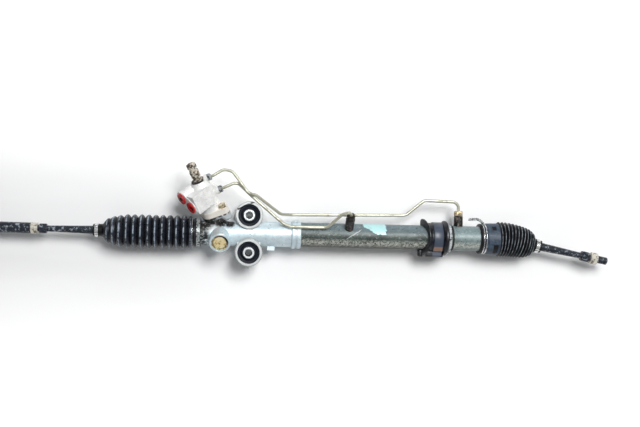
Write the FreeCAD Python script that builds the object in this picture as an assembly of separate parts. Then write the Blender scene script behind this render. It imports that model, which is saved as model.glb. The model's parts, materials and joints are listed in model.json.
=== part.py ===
import FreeCAD, Part
import math
import os
from FreeCAD import Placement, Rotation, Vector

# Hydraulic steering rack, all sizes in millimetres.
# +X runs along the rack towards the long pressure tube, +Z out of the mounting face towards
# the top of the bushes, +Y completes the frame. The origin lies midway between the two
# mounting bores, on the plane where the bush sleeves seat.

# Rack line
RACK_AXIS_Z = 30.0
RACK_R = 12.5
LEFT_BALL_X = -254.0
RIGHT_BALL_X = 518.0
TRAVEL_LEFT = 20.0
TRAVEL_RIGHT = 115.0
RUNNING_GAP = 0.05
LOOSE_GAP = 0.3

# Gear mesh: the pinion stands skewed across the rack, its helix equal to the skew
PINION_X = -57.0
PINION_OFFSET = 16.75
PINION_SKEW = 23.0
YOKE_LEAN = 27.0
NORMAL_MODULE = 2.0
PINION_TEETH = 8
PRESSURE_ANGLE = 20.0
PROFILE_SHIFT = 0.5
PINION_TIP_R = 11.15
TOOTH_CLEARANCE = 0.35
BACKLASH = 0.12
PINION_FACE = 26.0

# Pinion shaft and valve, measured along the pinion axis from the crossing point
LOWER_JOURNAL_R = 6.0
LOWER_BEARING_R = 9.0
LOWER_BEARING_START = -26.0
LOWER_BEARING_END = -14.0
END_CAP_R = 13.0
TOWER_BOTTOM = -35.0
UPPER_JOURNAL_R = 10.0
UPPER_BEARING_R = 17.5
UPPER_BEARING_START = 22.0
UPPER_BEARING_END = 34.0
FLANGE_PLANE = 37.0
FLANGE_THICK = 13.0
PINION_HEAD_R = 13.0
PINION_HEAD_END = 50.0
VALVE_SLEEVE_R = 16.4
VALVE_SLEEVE_END = 102.0
VALVE_BORE_R = 16.5
VALVE_BODY_R = 21.5
VALVE_SHOULDER = 103.0
VALVE_TOP = 115.0
VALVE_NECK_R = 15.5
INPUT_R = 10.0
INPUT_START = 41.0
SPLINE_START = 125.0
SPLINE_R = 9.5
SPLINE_COUNT = 24
INPUT_TIP = 154.0
TORSION_R = 2.4
TORSION_START = 24.0
TORSION_END = 148.0

# Valve flange, bolts, hose ports and pipe unions
TOWER_R = 19.0
LOWER_TOWER_R = 15.5
FLANGE_R = 22.5
EAR_R = 9.5
EAR_REACH = 29.0
RIGHT_EAR_TURN = -25.0
LEFT_EAR_TURN = 135.0
VALVE_BOLT_R = 4.0
VALVE_BOLT_HEAD = 13.0
PORT_TURN = 218.9
PORT_REACH = 43.0
PORT_R = 15.0
PORT_MEAN = 90.0
PORT_FOOT = 22.5
PORT_STEP_ALONG = 17.0
PORT_STEP_ACROSS = 22.0
PLUG_R = 11.5
PLUG_DEPTH = 9.0
UNION_R = 8.0
UNION_NUT = 13.0
LONG_UNION_AT = 115.0
LONG_UNION_REACH = 20.0
SHORT_UNION_AT = 83.0
SHORT_UNION_REACH = 31.0
GALLERY_THICK = 12.0
GALLERY_DROP = 22.0
UNION_NUT_LENGTH = 7.0

# Rack guide, the sprung slipper behind the rack
GUIDE_R = 15.0
GUIDE_BACK = 26.0
GUIDE_BOSS_R = 21.0
GUIDE_BOSS_TOP = 43.0
ADJUSTER_R = 17.0
ADJUSTER_BOTTOM = 30.0
ADJUSTER_FACE = 39.0
ADJUSTER_HEAD_R = 13.0
ADJUSTER_SINK = 1.5
SPRING_R = 8.5
SPRING_WIRE_R = 1.4
SPRING_TURNS = 4

# Housing casting
HOUSING_LEFT_END = -106.0
BOOT_SEAT_END = -88.0
BARREL_R = 24.5
RACK_BORE_R = 14.5
WIDE_BORE_R = 19.0
LEFT_BORE_END = -94.0
WIDE_BORE_START = 34.0
COLLAR_START = 86.0
COLLAR_END = 103.0
COLLAR_R = 28.0
TUBE_START = 90.0

# Mounting eyes and their bushes
EYE_SPACING = 74.0
EYE_R = 27.5
EYE_BOTTOM = 3.0
EYE_TOP = 56.0
BUSH_R = 22.0
BUSH_BOTTOM = 4.0
BUSH_TOP = 54.0
SLEEVE_R = 11.5
MOUNT_BORE_R = 7.0
SLEEVE_LENGTH = 60.0

# Cylinder tube, its ports, the mount bush clamped round it
TUBE_R = 24.5
TUBE_WALL = 3.0
TUBE_END = 468.0
SHORT_PORT_X = 198.0
SHORT_PORT_TURN = 42.0
SHORT_PORT_HEIGHT = 51.5
LONG_PORT_X = 418.0
LONG_PORT_TURN = 90.0
LONG_PORT_HEIGHT = 44.5
PORT_BOSS_R = 9.0
PORT_NUT = 15.0
PORT_NUT_LENGTH = 10.0
FLUID_HOLE_R = 2.0
RUBBER_LEFT = 342.0
RUBBER_RIGHT = 394.0
RUBBER_WALL = 5.5
RUBBER_LEFT_LIP = 13.5
RUBBER_RIGHT_LIP = 10.5
RUBBER_LIP_WIDTH = 9.0
FOOT_DROP = 12.5
FOOT_WIDTH = 26.0
KNOB_WIDTH = 11.0
KNOB_DEPTH = 15.0
LEFT_KNOB_STEP = -4.0
RIGHT_KNOB_STEP = 6.0
RING_WALL = 6.0
RING_LENGTH = 5.0

# Piston and the seals that close the cylinder
PISTON_X = 258.0
PISTON_LENGTH = 20.0
PISTON_RING_WIDTH = 5.0
SEAL_START = 168.0
SEAL_LENGTH = 22.0
SEAL_WALL = 4.0
END_BUSH_START = 432.0
END_BUSH_LENGTH = 24.0
END_BUSH_WALL = 4.0
RACK_END_GAP = 3.0

# Ball joints between rack and tie rods
BALL_R = 14.0
SEAT_WALL = 2.0
SOCKET_R = 18.5
SOCKET_BASE = 27.0
SOCKET_LIP = 8.0
NECK_R = 6.5
WASHER_R = 15.5
WASHER_THICK = 3.0
SOCKET_STUD_R = 7.0
SOCKET_STUD_LENGTH = 18.0

# Tie rods, measured outward from the ball centre
LEFT_SWING = 0.5
RIGHT_SWING = 11.2
ROD_BOOT_R = 8.2
ROD_THIN_R = 6.2
ROD_THIN_AT = 140.0
ROD_HEX_START = 150.0
ROD_HEX_END = 164.0
ROD_HEX = 19.0
THREAD_R = 7.0
THREAD_PITCH_R = 6.5
THREAD_RUN_OUT = 0.5
THREAD_END = 202.0
JAM_NUT = 22.0
JAM_NUT_START = 167.5
JAM_NUT_END = 181.0
CLIP_WIDTH = 7.0

# Outer joint on the left tie rod
SHANK_R = 11.0
SHANK_LENGTH = 64.0
END_BALL_AT = 284.0
END_SOCKET_R = 19.0
END_BALL_R = 12.0
STUD_R = 9.0
STUD_TAPER_R = 6.5
STUD_THREAD_R = 6.0
STUD_TAPER_END = 46.0
STUD_END = 68.0
CASTLE_NUT = 19.0
CASTLE_NUT_START = 50.0
CASTLE_NUT_END = 62.0
END_BOOT_R = 18.0

# Bellows boots
BOOT_WALL = 2.5
LEFT_BOOT_END = -96.0
LEFT_BOOT_R = 33.5
LEFT_PLEATS = 10
LEFT_PLEAT_START = -115.0
PLEAT_PITCH = 14.15
PLEAT_DEPTH = 7.3
CONE_PLEAT_DEPTH = 4.0
LEFT_CONE_CRESTS = [(2.0, 31.5), (12.2, 28.0), (25.2, 23.6)]
LEFT_CONE_END = [(30.5, 16.5), (37.0, 12.3)]
BOOT_NECK_R = 12.3
LEFT_CUFF_R = 27.0
BAND_THICK = 1.5
RIGHT_BOOT_START = 450.0
RIGHT_CUFF_WALL = 3.5
RIGHT_CUFF_R = TUBE_R + RIGHT_CUFF_WALL
RIGHT_COLLAR_START = 473.0
RIGHT_COLLAR_R = RIGHT_CUFF_R + 3.0
RIGHT_BELLOWS_START = 498.0
RIGHT_BELLOWS_R = RIGHT_COLLAR_R + 3.5
RIGHT_RIBS = 9
RIB_PITCH = 6.2
RIB_DEPTH = 4.8
RIB_TAPER = 0.06
RIGHT_CONE_CRESTS = [(36.1, 29.0), (41.6, 26.2), (46.6, 22.8)]
RIGHT_CONE_END = [(50.1, 16.8)]
BOOT_BEND_REACH = 20.0
LEFT_NECK_START = 45.0
RIGHT_NECK_START = 54.0
BOOT_NECK_LENGTH = 13.0
WIRE_R = 1.2

# Pressure pipes: route points in the part's own frame
PIPE_R = 3.0
PIPE_BEND = 16.0
LONG_PIPE_ROUTE = [
    (-53, 125.5, 66.5), (-35, 122.5, 67), (-3, 80, 66), (12.5, 76.5, 62), (62, 40.5, 45),
    (85, 39.5, 33), (312.5, 43.5, 30), (349, 74, 30),
]
LONG_PIPE_LEAD = 28.0
SHORT_PIPE_ROUTE = [
    (-26, 102.5, 56), (-2, 80, 55), (11.5, 68.5, 55), (67.5, 21.5, 57), (82.5, 16, 58.5),
    (154, 16, 58), (181, 43, 79),
]
SHORT_PIPE_LEAD = 19.0

parts = {}


def keep(name, shape):
    parts[name] = shape


def rod_z(radius, start, end):
    return Part.makeCylinder(radius, end - start, Vector(0, 0, start))


def ring_z(outer, inner, start, end):
    return rod_z(outer, start, end).cut(rod_z(inner, start - 1, end + 1))


def turned(profile):
    # A closed profile of (radius, height) points turned about the local Z axis
    corners = [Vector(r, 0, z) for r, z in profile]
    face = Part.Face(Part.makePolygon(corners + corners[:1]))
    return face.revolve(Vector(0, 0, 0), Vector(0, 0, 1), 360)


def placed(shape, placement):
    moved = shape.copy()
    moved.Placement = placement.multiply(moved.Placement)
    return moved


def hexagon(across, start, end):
    corner = across / math.sqrt(3)
    points = [
        Vector(corner * math.cos(math.radians(a)), corner * math.sin(math.radians(a)), start)
        for a in range(0, 361, 60)
    ]
    return Part.Face(Part.makePolygon(points)).extrude(Vector(0, 0, end - start))


def rounded_hexagon(across, start, end):
    # A hexagon whose corners are turned down by a cone at both ends
    height = end - start
    corner = across / math.sqrt(3)
    lathe = turned([
        (0, start), (across / 2, start), (corner, start + height * 0.15),
        (corner, end - height * 0.15), (across / 2, end), (0, end),
    ])
    return hexagon(across, start, end).common(lathe)


def merged(shapes):
    whole = shapes[0]
    for shape in shapes[1:]:
        whole = whole.fuse(shape)
    return whole.removeSplitter()


# Local frames: along the rack, at the gear crossing, and up the pinion axis
RACK_LINE = Placement(Vector(0, 0, RACK_AXIS_Z), Rotation(Vector(0, 1, 0), 90))
GEAR = Placement(Vector(PINION_X, 0, RACK_AXIS_Z), Rotation(Vector(1, 0, 0), YOKE_LEAN))
PINION = GEAR.multiply(Placement(
    Vector(0, 0, -PINION_OFFSET),
    Rotation(Vector(0, 0, 1), PINION_SKEW).multiply(Rotation(Vector(1, 0, 0), -90)),
))


def ball_frame(ball_x, turn):
    # Origin in the ball's centre, local Z outward along the tie rod
    return Placement(
        Vector(ball_x, 0, RACK_AXIS_Z),
        Rotation(Vector(0, 0, 1), turn).multiply(Rotation(Vector(0, 1, 0), 90)),
    )


LEFT_SOCKET_LINE = ball_frame(LEFT_BALL_X, 180)
RIGHT_SOCKET_LINE = ball_frame(RIGHT_BALL_X, 0)
LEFT_ROD_LINE = ball_frame(LEFT_BALL_X, 180 - LEFT_SWING)
RIGHT_ROD_LINE = ball_frame(RIGHT_BALL_X, -RIGHT_SWING)
RIGHT_LEAN = math.radians(RIGHT_SWING)
BOOT_BEND_R = BOOT_BEND_REACH / math.tan(RIGHT_LEAN / 2)
BOOT_BEND_START = RIGHT_BALL_X - BOOT_BEND_REACH
BOOT_BEND_END = BOOT_BEND_START + BOOT_BEND_R * RIGHT_LEAN
PITCH_R = NORMAL_MODULE * PINION_TEETH / (2 * math.cos(math.radians(PINION_SKEW)))
RACK_TIP = PINION_OFFSET - PITCH_R - NORMAL_MODULE * (PROFILE_SHIFT - 1)
RACK_ROOT = PINION_OFFSET - PINION_TIP_R - TOOTH_CLEARANCE
PINION_ROOT_R = PINION_OFFSET - RACK_TIP - TOOTH_CLEARANCE
RACK_PITCH = math.pi * NORMAL_MODULE


def flank_angle(radius, base_r, pitch_half_angle, pressure):
    # Half the angle that a tooth fills at this radius
    swing = math.acos(min(1.0, base_r / radius))
    return pitch_half_angle + math.tan(pressure) - pressure - math.tan(swing) + swing


def pinion_outline(twist, height):
    # One cross section of the toothed length, its flanks involutes of the base circle
    pressure = math.atan(
        math.tan(math.radians(PRESSURE_ANGLE)) / math.cos(math.radians(PINION_SKEW)))
    base_r = PITCH_R * math.cos(pressure)
    across = math.cos(math.radians(PINION_SKEW))
    thick = RACK_PITCH / (2 * across) + 2 * PROFILE_SHIFT * NORMAL_MODULE * math.tan(pressure)
    half = (thick - BACKLASH / 2) / (2 * PITCH_R)
    steps = [base_r + (PINION_TIP_R - base_r) * k / 4 for k in range(5)]

    def at(radius, angle):
        return Vector(radius * math.cos(angle), radius * math.sin(angle), height)

    edges = []
    step = 2 * math.pi / PINION_TEETH
    for tooth in range(PINION_TEETH):
        middle = twist - math.pi / 2 + step * (tooth + 0.5)
        spread = [flank_angle(r, base_r, half, pressure) for r in steps]
        rising = [at(r, middle - s) for r, s in zip(steps, spread)]
        falling = [at(r, middle + s) for r, s in zip(steps, spread)][::-1]
        foot_in = at(PINION_ROOT_R, middle - spread[0])
        foot_out = at(PINION_ROOT_R, middle + spread[0])
        next_foot = at(PINION_ROOT_R, middle + step - spread[0])
        root_middle = at(PINION_ROOT_R, middle + step / 2)
        edges.append(Part.makeLine(foot_in, rising[0]))
        for side in (rising, falling):
            curve = Part.BSplineCurve()
            curve.interpolate(side)
            edges.append(curve.toShape())
            if side is rising:
                tip = Part.Arc(rising[-1], at(PINION_TIP_R, middle), falling[0])
                edges.append(tip.toShape())
        edges.append(Part.makeLine(falling[-1], foot_out))
        edges.append(Part.Arc(foot_out, root_middle, next_foot).toShape())
    return Part.Wire(edges)


def make_pinion():
    half = PINION_FACE / 2
    lead = math.tan(math.radians(PINION_SKEW)) / PITCH_R
    heights = [-half + PINION_FACE * k / 6 for k in range(7)]
    teeth = Part.makeLoft([pinion_outline(z * lead, z) for z in heights], True)
    below = turned([
        (0, LOWER_BEARING_START), (LOWER_JOURNAL_R - 1, LOWER_BEARING_START),
        (LOWER_JOURNAL_R, LOWER_BEARING_START + 1), (LOWER_JOURNAL_R, 1 - half), (0, 1 - half),
    ])
    above = turned([
        (0, half - 1), (PINION_ROOT_R, half - 1), (PINION_ROOT_R, half + 3),
        (UPPER_JOURNAL_R - 1, half + 5), (UPPER_JOURNAL_R, half + 6),
        (UPPER_JOURNAL_R, UPPER_BEARING_END + 1), (PINION_HEAD_R, UPPER_BEARING_END + 1),
        (PINION_HEAD_R, PINION_HEAD_END), (0, PINION_HEAD_END),
    ])
    bar_hole = rod_z(TORSION_R, TORSION_START, PINION_HEAD_END)
    input_pocket = rod_z(INPUT_R + LOOSE_GAP, INPUT_START - 2, PINION_HEAD_END)
    shape = merged([teeth, below, above]).cut(bar_hole).cut(input_pocket)
    keep("pinion", placed(shape, PINION))


def make_valve_core():
    sleeve = ring_z(VALVE_SLEEVE_R, INPUT_R + LOOSE_GAP, PINION_HEAD_END, VALVE_SLEEVE_END)
    length = VALVE_SLEEVE_END - PINION_HEAD_END
    for k in range(1, 4):
        middle = PINION_HEAD_END + length * k / 4
        sleeve = sleeve.cut(ring_z(VALVE_BORE_R, VALVE_SLEEVE_R - 1.5, middle - 2.5, middle + 2.5))
    keep("valve_sleeve", placed(sleeve, PINION))
    keep("torsion_bar", placed(rod_z(TORSION_R, TORSION_START, TORSION_END), PINION))


def spline_ring(start, end):
    # Fine teeth round the shaft, each one a shallow vee
    points = []
    for k in range(SPLINE_COUNT):
        for part, radius in ((0, SPLINE_R), (0.5, SPLINE_R - 0.8)):
            angle = 2 * math.pi * (k + part) / SPLINE_COUNT
            points.append(Vector(radius * math.cos(angle), radius * math.sin(angle), start))
    outline = Part.makePolygon(points + points[:1])
    return Part.Face(outline).extrude(Vector(0, 0, end - start))


def make_input_shaft():
    groove = SPLINE_R - 1.8
    core = turned([
        (0, INPUT_START), (INPUT_R, INPUT_START), (INPUT_R, VALVE_TOP + 4),
        (SPLINE_R - 1, VALVE_TOP + 6), (SPLINE_R - 1, SPLINE_START),
        (groove, SPLINE_START), (groove, INPUT_TIP - 1), (0, INPUT_TIP - 1),
    ])
    lower = spline_ring(SPLINE_START, INPUT_TIP - 15)
    upper = spline_ring(INPUT_TIP - 9, INPUT_TIP)
    tip_cone = turned([
        (0, INPUT_START), (INPUT_R + 1, INPUT_START), (INPUT_R + 1, INPUT_TIP - 1.5),
        (SPLINE_R - 1.5, INPUT_TIP), (0, INPUT_TIP),
    ])
    shape = merged([core, lower, upper]).common(tip_cone)
    bore = rod_z(TORSION_R + LOOSE_GAP, INPUT_START - 1, TORSION_END + LOOSE_GAP)
    keep("input_shaft", placed(shape.cut(bore), PINION))


def make_pinion_supports():
    keep("lower_pinion_bearing", placed(ring_z(
        LOWER_BEARING_R, LOWER_JOURNAL_R + RUNNING_GAP, LOWER_BEARING_START,
        LOWER_BEARING_END), PINION))
    keep("upper_pinion_bearing", placed(ring_z(
        UPPER_BEARING_R, UPPER_JOURNAL_R + RUNNING_GAP, UPPER_BEARING_START,
        UPPER_BEARING_END), PINION))
    cap = rod_z(END_CAP_R, TOWER_BOTTOM, LOWER_BEARING_START - LOOSE_GAP)
    key = hexagon(12, TOWER_BOTTOM - 1, TOWER_BOTTOM + 4)
    keep("pinion_end_cap", placed(cap.cut(key), PINION))
    keep("input_shaft_bearing", placed(ring_z(
        INPUT_R + 4, INPUT_R + RUNNING_GAP, VALVE_SLEEVE_END + 2, VALVE_TOP - 4), PINION))
    keep("input_shaft_seal", placed(ring_z(
        INPUT_R + 4, INPUT_R + RUNNING_GAP, VALVE_TOP - 4, VALVE_TOP + 2), PINION))


def ear_plate(start, end):
    # The valve flange: a round middle drawn out by tangents to two bolt ears
    lean = math.asin((FLANGE_R - EAR_R) / EAR_REACH)
    height = Vector(0, 0, end - start)
    shapes = [rod_z(FLANGE_R, start, end)]
    for turn in (RIGHT_EAR_TURN, LEFT_EAR_TURN):
        corners = []
        for reach, radius in ((EAR_REACH, EAR_R), (0, FLANGE_R)):
            corners.append(Vector(
                reach + radius * math.sin(lean), radius * math.cos(lean), start))
        corners += [Vector(v.x, -v.y, v.z) for v in corners[::-1]]
        web = Part.Face(Part.makePolygon(corners + corners[:1])).extrude(height)
        ear = rod_z(EAR_R, start, end)
        ear.translate(Vector(EAR_REACH, 0, 0))
        for shape in (web, ear):
            shape.rotate(Vector(0, 0, 0), Vector(0, 0, 1), turn)
            shapes.append(shape)
    return merged(shapes)


def at_both_ears(shape):
    pair = []
    for turn in (RIGHT_EAR_TURN, LEFT_EAR_TURN):
        copy = shape.copy()
        copy.translate(Vector(EAR_REACH, 0, 0))
        copy.rotate(Vector(0, 0, 0), Vector(0, 0, 1), turn)
        pair.append(copy)
    return Part.makeCompound(pair)


def valve_bolt_holes(start, end):
    return at_both_ears(rod_z(VALVE_BOLT_R + 0.1, start, end))


def make_valve_bolts():
    head_base = FLANGE_PLANE + FLANGE_THICK
    bolt = rod_z(VALVE_BOLT_R, FLANGE_PLANE - 12, head_base)
    bolt = bolt.fuse(rounded_hexagon(VALVE_BOLT_HEAD, head_base, head_base + 7))
    keep("valve_bolts", placed(at_both_ears(bolt), PINION))


def port_line(turn, along):
    # Local Z points square out of the pinion axis, turned about it, at this distance along it
    return Placement(
        Vector(0, 0, along),
        Rotation(Vector(0, 0, 1), turn).multiply(Rotation(Vector(0, 1, 0), 90)),
    )


def port_places():
    # The two hose ports lie side by side on one slanted face of the valve block
    for side in (0.5, -0.5):
        line = port_line(PORT_TURN, PORT_MEAN + side * PORT_STEP_ALONG)
        yield line.multiply(Placement(Vector(0, -side * PORT_STEP_ACROSS, 0), Rotation()))


def port_block():
    places = list(port_places())
    shapes = [placed(rod_z(PORT_R, 0, PORT_REACH), p) for p in places]
    middle = port_line(PORT_TURN, PORT_MEAN)
    lean = math.degrees(math.atan2(PORT_STEP_ALONG, PORT_STEP_ACROSS))
    length = math.hypot(PORT_STEP_ALONG, PORT_STEP_ACROSS)
    web = Part.makeBox(2 * PORT_R, length, PORT_REACH, Vector(-PORT_R, -length / 2, 0))
    for turn in (lean, -lean):
        trial = placed(web, middle.multiply(Placement(Vector(), Rotation(Vector(0, 0, 1), turn))))
        if trial.common(shapes[0]).Volume > 0.3 * shapes[0].Volume:
            shapes.append(trial)
    lower = Part.makeBox(
        PORT_R + PORT_FOOT, PORT_R + length / 2, PORT_REACH - 2, Vector(-PORT_R, 0, 0))
    shapes.append(placed(lower, middle))
    return merged(shapes)


def pipe_gallery():
    # A cast web up the body's side, which carries both pipe unions
    reach = VALVE_BODY_R - 4
    outline = [
        (INPUT_R, VALVE_SHOULDER + 3), (LONG_UNION_REACH - 1, LONG_UNION_AT - UNION_NUT * 0.7),
        (SHORT_UNION_REACH - 1, SHORT_UNION_AT + UNION_R), (SHORT_UNION_REACH - 1, SHORT_UNION_AT),
        (reach, SHORT_UNION_AT - GALLERY_DROP), (INPUT_R, SHORT_UNION_AT - GALLERY_DROP),
    ]
    corners = [Vector(x, -GALLERY_THICK / 2, z) for x, z in outline]
    face = Part.Face(Part.makePolygon(corners + corners[:1]))
    return face.extrude(Vector(0, GALLERY_THICK, 0))


def make_valve_housing():
    top = FLANGE_PLANE + FLANGE_THICK
    body = turned([
        (0, FLANGE_PLANE), (VALVE_BODY_R, FLANGE_PLANE), (VALVE_BODY_R, VALVE_SHOULDER),
        (VALVE_NECK_R, VALVE_TOP), (0, VALVE_TOP),
    ])
    shapes = [body, ear_plate(FLANGE_PLANE, top), port_block(), pipe_gallery()]
    for reach, along in (
        (LONG_UNION_REACH, LONG_UNION_AT), (SHORT_UNION_REACH, SHORT_UNION_AT),
    ):
        shapes.append(placed(rod_z(UNION_R, INPUT_R, reach), port_line(0, along)))
    shape = merged(shapes)
    shape = shape.cut(rod_z(VALVE_BORE_R, FLANGE_PLANE - 1, VALVE_SLEEVE_END + 2))
    shape = shape.cut(rod_z(INPUT_R + 4, VALVE_SLEEVE_END, VALVE_TOP + 2 * UNION_R))
    shape = shape.cut(valve_bolt_holes(FLANGE_PLANE - 1, VALVE_SHOULDER))
    for place in port_places():
        shape = shape.cut(placed(rod_z(PLUG_R, PORT_REACH - PLUG_DEPTH, PORT_REACH + 1), place))
    keep("valve_housing", placed(shape, PINION))


def make_port_plugs():
    # Transport plugs: a rim on the port face, a skirt inside it, a dark finger hole
    rim = PORT_REACH + 2.5
    skirt = ring_z(PLUG_R, 4.5, PORT_REACH - PLUG_DEPTH, rim)
    floor = rod_z(4.5, PORT_REACH - PLUG_DEPTH, PORT_REACH - PLUG_DEPTH + 2)
    plug = merged([skirt, floor])
    pair = [placed(plug, PINION.multiply(p)) for p in port_places()]
    keep("hose_port_plugs", Part.makeCompound(pair))


def guide_boss():
    rise = GUIDE_BOSS_TOP - 1.5
    return placed(turned([
        (0, 0), (GUIDE_BOSS_R, 0), (GUIDE_BOSS_R, rise), (GUIDE_BOSS_R - 1.5, GUIDE_BOSS_TOP),
        (0, GUIDE_BOSS_TOP),
    ]), GEAR)


def gear_tower():
    shaft = turned([
        (0, TOWER_BOTTOM), (LOWER_TOWER_R - 1, TOWER_BOTTOM), (LOWER_TOWER_R, TOWER_BOTTOM + 1),
        (LOWER_TOWER_R, LOWER_BEARING_END - 1), (TOWER_R, LOWER_BEARING_END + 5),
        (TOWER_R, FLANGE_PLANE - 13), (FLANGE_R - 1, FLANGE_PLANE - 13),
        (FLANGE_R - 1, FLANGE_PLANE), (0, FLANGE_PLANE),
    ])
    return placed(merged([shaft, ear_plate(FLANGE_PLANE - 13, FLANGE_PLANE)]), PINION)


def housing_barrel():
    return placed(turned([
        (0, HOUSING_LEFT_END), (BARREL_R - 2, HOUSING_LEFT_END),
        (BARREL_R - 0.5, HOUSING_LEFT_END + 2), (BARREL_R - 0.5, BOOT_SEAT_END),
        (BARREL_R, BOOT_SEAT_END + 1), (BARREL_R, COLLAR_START - 2),
        (COLLAR_R, COLLAR_START), (COLLAR_R, COLLAR_START + 6),
        (COLLAR_R - 2, COLLAR_START + 6), (COLLAR_R - 2, COLLAR_START + 9),
        (COLLAR_R, COLLAR_START + 9), (COLLAR_R, COLLAR_END - 1), (COLLAR_R - 1, COLLAR_END),
        (0, COLLAR_END),
    ]), RACK_LINE)


def mounting_eyes():
    eyes = []
    for side in (1, -1):
        eye = turned([
            (0, EYE_BOTTOM), (EYE_R - 1.5, EYE_BOTTOM), (EYE_R, EYE_BOTTOM + 1.5),
            (EYE_R, EYE_TOP - 1.5), (EYE_R - 1.5, EYE_TOP), (0, EYE_TOP),
        ])
        eye.translate(Vector(0, side * EYE_SPACING / 2, 0))
        eyes.append(eye)
    web = Part.makeBox(
        EYE_R * 1.7, EYE_SPACING, 2 * BARREL_R - 12,
        Vector(-EYE_R * 0.85, -EYE_SPACING / 2, RACK_AXIS_Z - BARREL_R + 6))
    return eyes + [web]


def housing_lug():
    # A small cast pad under the barrel
    return Part.makeBox(15, 10, 14, Vector(37, -BARREL_R - 8, RACK_AXIS_Z - 7))


def housing_bores():
    cuts = [
        placed(rod_z(WIDE_BORE_R, HOUSING_LEFT_END - 1, LEFT_BORE_END), RACK_LINE),
        placed(rod_z(RACK_BORE_R, LEFT_BORE_END - 1, WIDE_BORE_START + 1), RACK_LINE),
        placed(rod_z(WIDE_BORE_R, WIDE_BORE_START, TUBE_START + 1), RACK_LINE),
        placed(rod_z(TUBE_R, TUBE_START, COLLAR_END + 1), RACK_LINE),
        placed(rod_z(GUIDE_R + RUNNING_GAP, 0, GUIDE_BOSS_TOP), GEAR),
        placed(rod_z(ADJUSTER_R, ADJUSTER_BOTTOM - 2, GUIDE_BOSS_TOP + 1), GEAR),
        placed(rod_z(PINION_TIP_R + 1.5, -PINION_FACE / 2 - 1, UPPER_BEARING_START), PINION),
        placed(rod_z(LOWER_BEARING_R, LOWER_BEARING_START, 0), PINION),
        placed(rod_z(END_CAP_R, TOWER_BOTTOM - 1, LOWER_BEARING_START), PINION),
        placed(rod_z(UPPER_BEARING_R, UPPER_BEARING_START, FLANGE_PLANE + 1), PINION),
        placed(valve_bolt_holes(FLANGE_PLANE - 12.5, FLANGE_PLANE + 1), PINION),
    ]
    for side in (1, -1):
        bore = rod_z(BUSH_R, -1, EYE_TOP + 1)
        bore.translate(Vector(0, side * EYE_SPACING / 2, 0))
        cuts.append(bore)
    return cuts


def make_gear_housing():
    shape = merged([housing_barrel(), gear_tower(), guide_boss(), housing_lug()] + mounting_eyes())
    for cut in housing_bores():
        shape = shape.cut(cut)
    keep("gear_housing", shape)


def make_rack_guide():
    body = placed(rod_z(GUIDE_R, 2, GUIDE_BACK), GEAR)
    saddle = placed(rod_z(
        RACK_R + 0.1, PINION_X - GUIDE_BOSS_R, PINION_X + GUIDE_BOSS_R), RACK_LINE)
    pocket = placed(rod_z(SPRING_R + SPRING_WIRE_R + 0.4, RACK_R + 5, GUIDE_BACK + 1), GEAR)
    keep("rack_guide", body.cut(saddle).cut(pocket))
    start = RACK_R + 5 + SPRING_WIRE_R
    height = ADJUSTER_BOTTOM - SPRING_WIRE_R - start
    path = Part.makeHelix(height / SPRING_TURNS, height, SPRING_R)
    circle = Part.Wire(Part.makeCircle(SPRING_WIRE_R, Vector(SPRING_R, 0, 0), Vector(0, 1, 0)))
    spring = Part.Wire(path).makePipeShell([circle], True, True)
    spring.translate(Vector(0, 0, start))
    keep("guide_spring", placed(spring, GEAR))
    head_top = GUIDE_BOSS_TOP - ADJUSTER_SINK
    adjuster = turned([
        (0, ADJUSTER_BOTTOM), (ADJUSTER_R, ADJUSTER_BOTTOM), (ADJUSTER_R, ADJUSTER_FACE),
        (ADJUSTER_HEAD_R, ADJUSTER_FACE), (ADJUSTER_HEAD_R, head_top - 1),
        (ADJUSTER_HEAD_R - 1, head_top), (0, head_top),
    ])
    keep("guide_adjuster", placed(adjuster, GEAR))


def make_mount_bushes():
    for name, side in (("upper", 1), ("lower", -1)):
        centre = Vector(0, side * EYE_SPACING / 2, 0)
        rubber = turned([
            (SLEEVE_R, BUSH_BOTTOM), (BUSH_R, BUSH_BOTTOM), (BUSH_R, BUSH_TOP),
            (BUSH_R - 3, BUSH_TOP), (BUSH_R - 5, BUSH_TOP - 4), (SLEEVE_R + 4, BUSH_TOP - 4),
            (SLEEVE_R + 2, BUSH_TOP), (SLEEVE_R, BUSH_TOP),
        ])
        sleeve = turned([
            (MOUNT_BORE_R, 0), (SLEEVE_R - 1, 0), (SLEEVE_R, 1), (SLEEVE_R, SLEEVE_LENGTH - 1),
            (SLEEVE_R - 1, SLEEVE_LENGTH), (MOUNT_BORE_R, SLEEVE_LENGTH),
        ])
        for shape in (rubber, sleeve):
            shape.translate(centre)
        keep(name + "_mount_rubber", rubber)
        keep(name + "_mount_sleeve", sleeve)


def tube_port_line(x, turn):
    # Local Z points out of the tube, turned from +Z towards +Y about the rack axis
    return Placement(Vector(x, 0, RACK_AXIS_Z), Rotation(Vector(1, 0, 0), -turn))


TUBE_PORTS = [
    ("short", tube_port_line(SHORT_PORT_X, SHORT_PORT_TURN), SHORT_PORT_HEIGHT),
    ("long", tube_port_line(LONG_PORT_X, LONG_PORT_TURN), LONG_PORT_HEIGHT),
]


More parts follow.
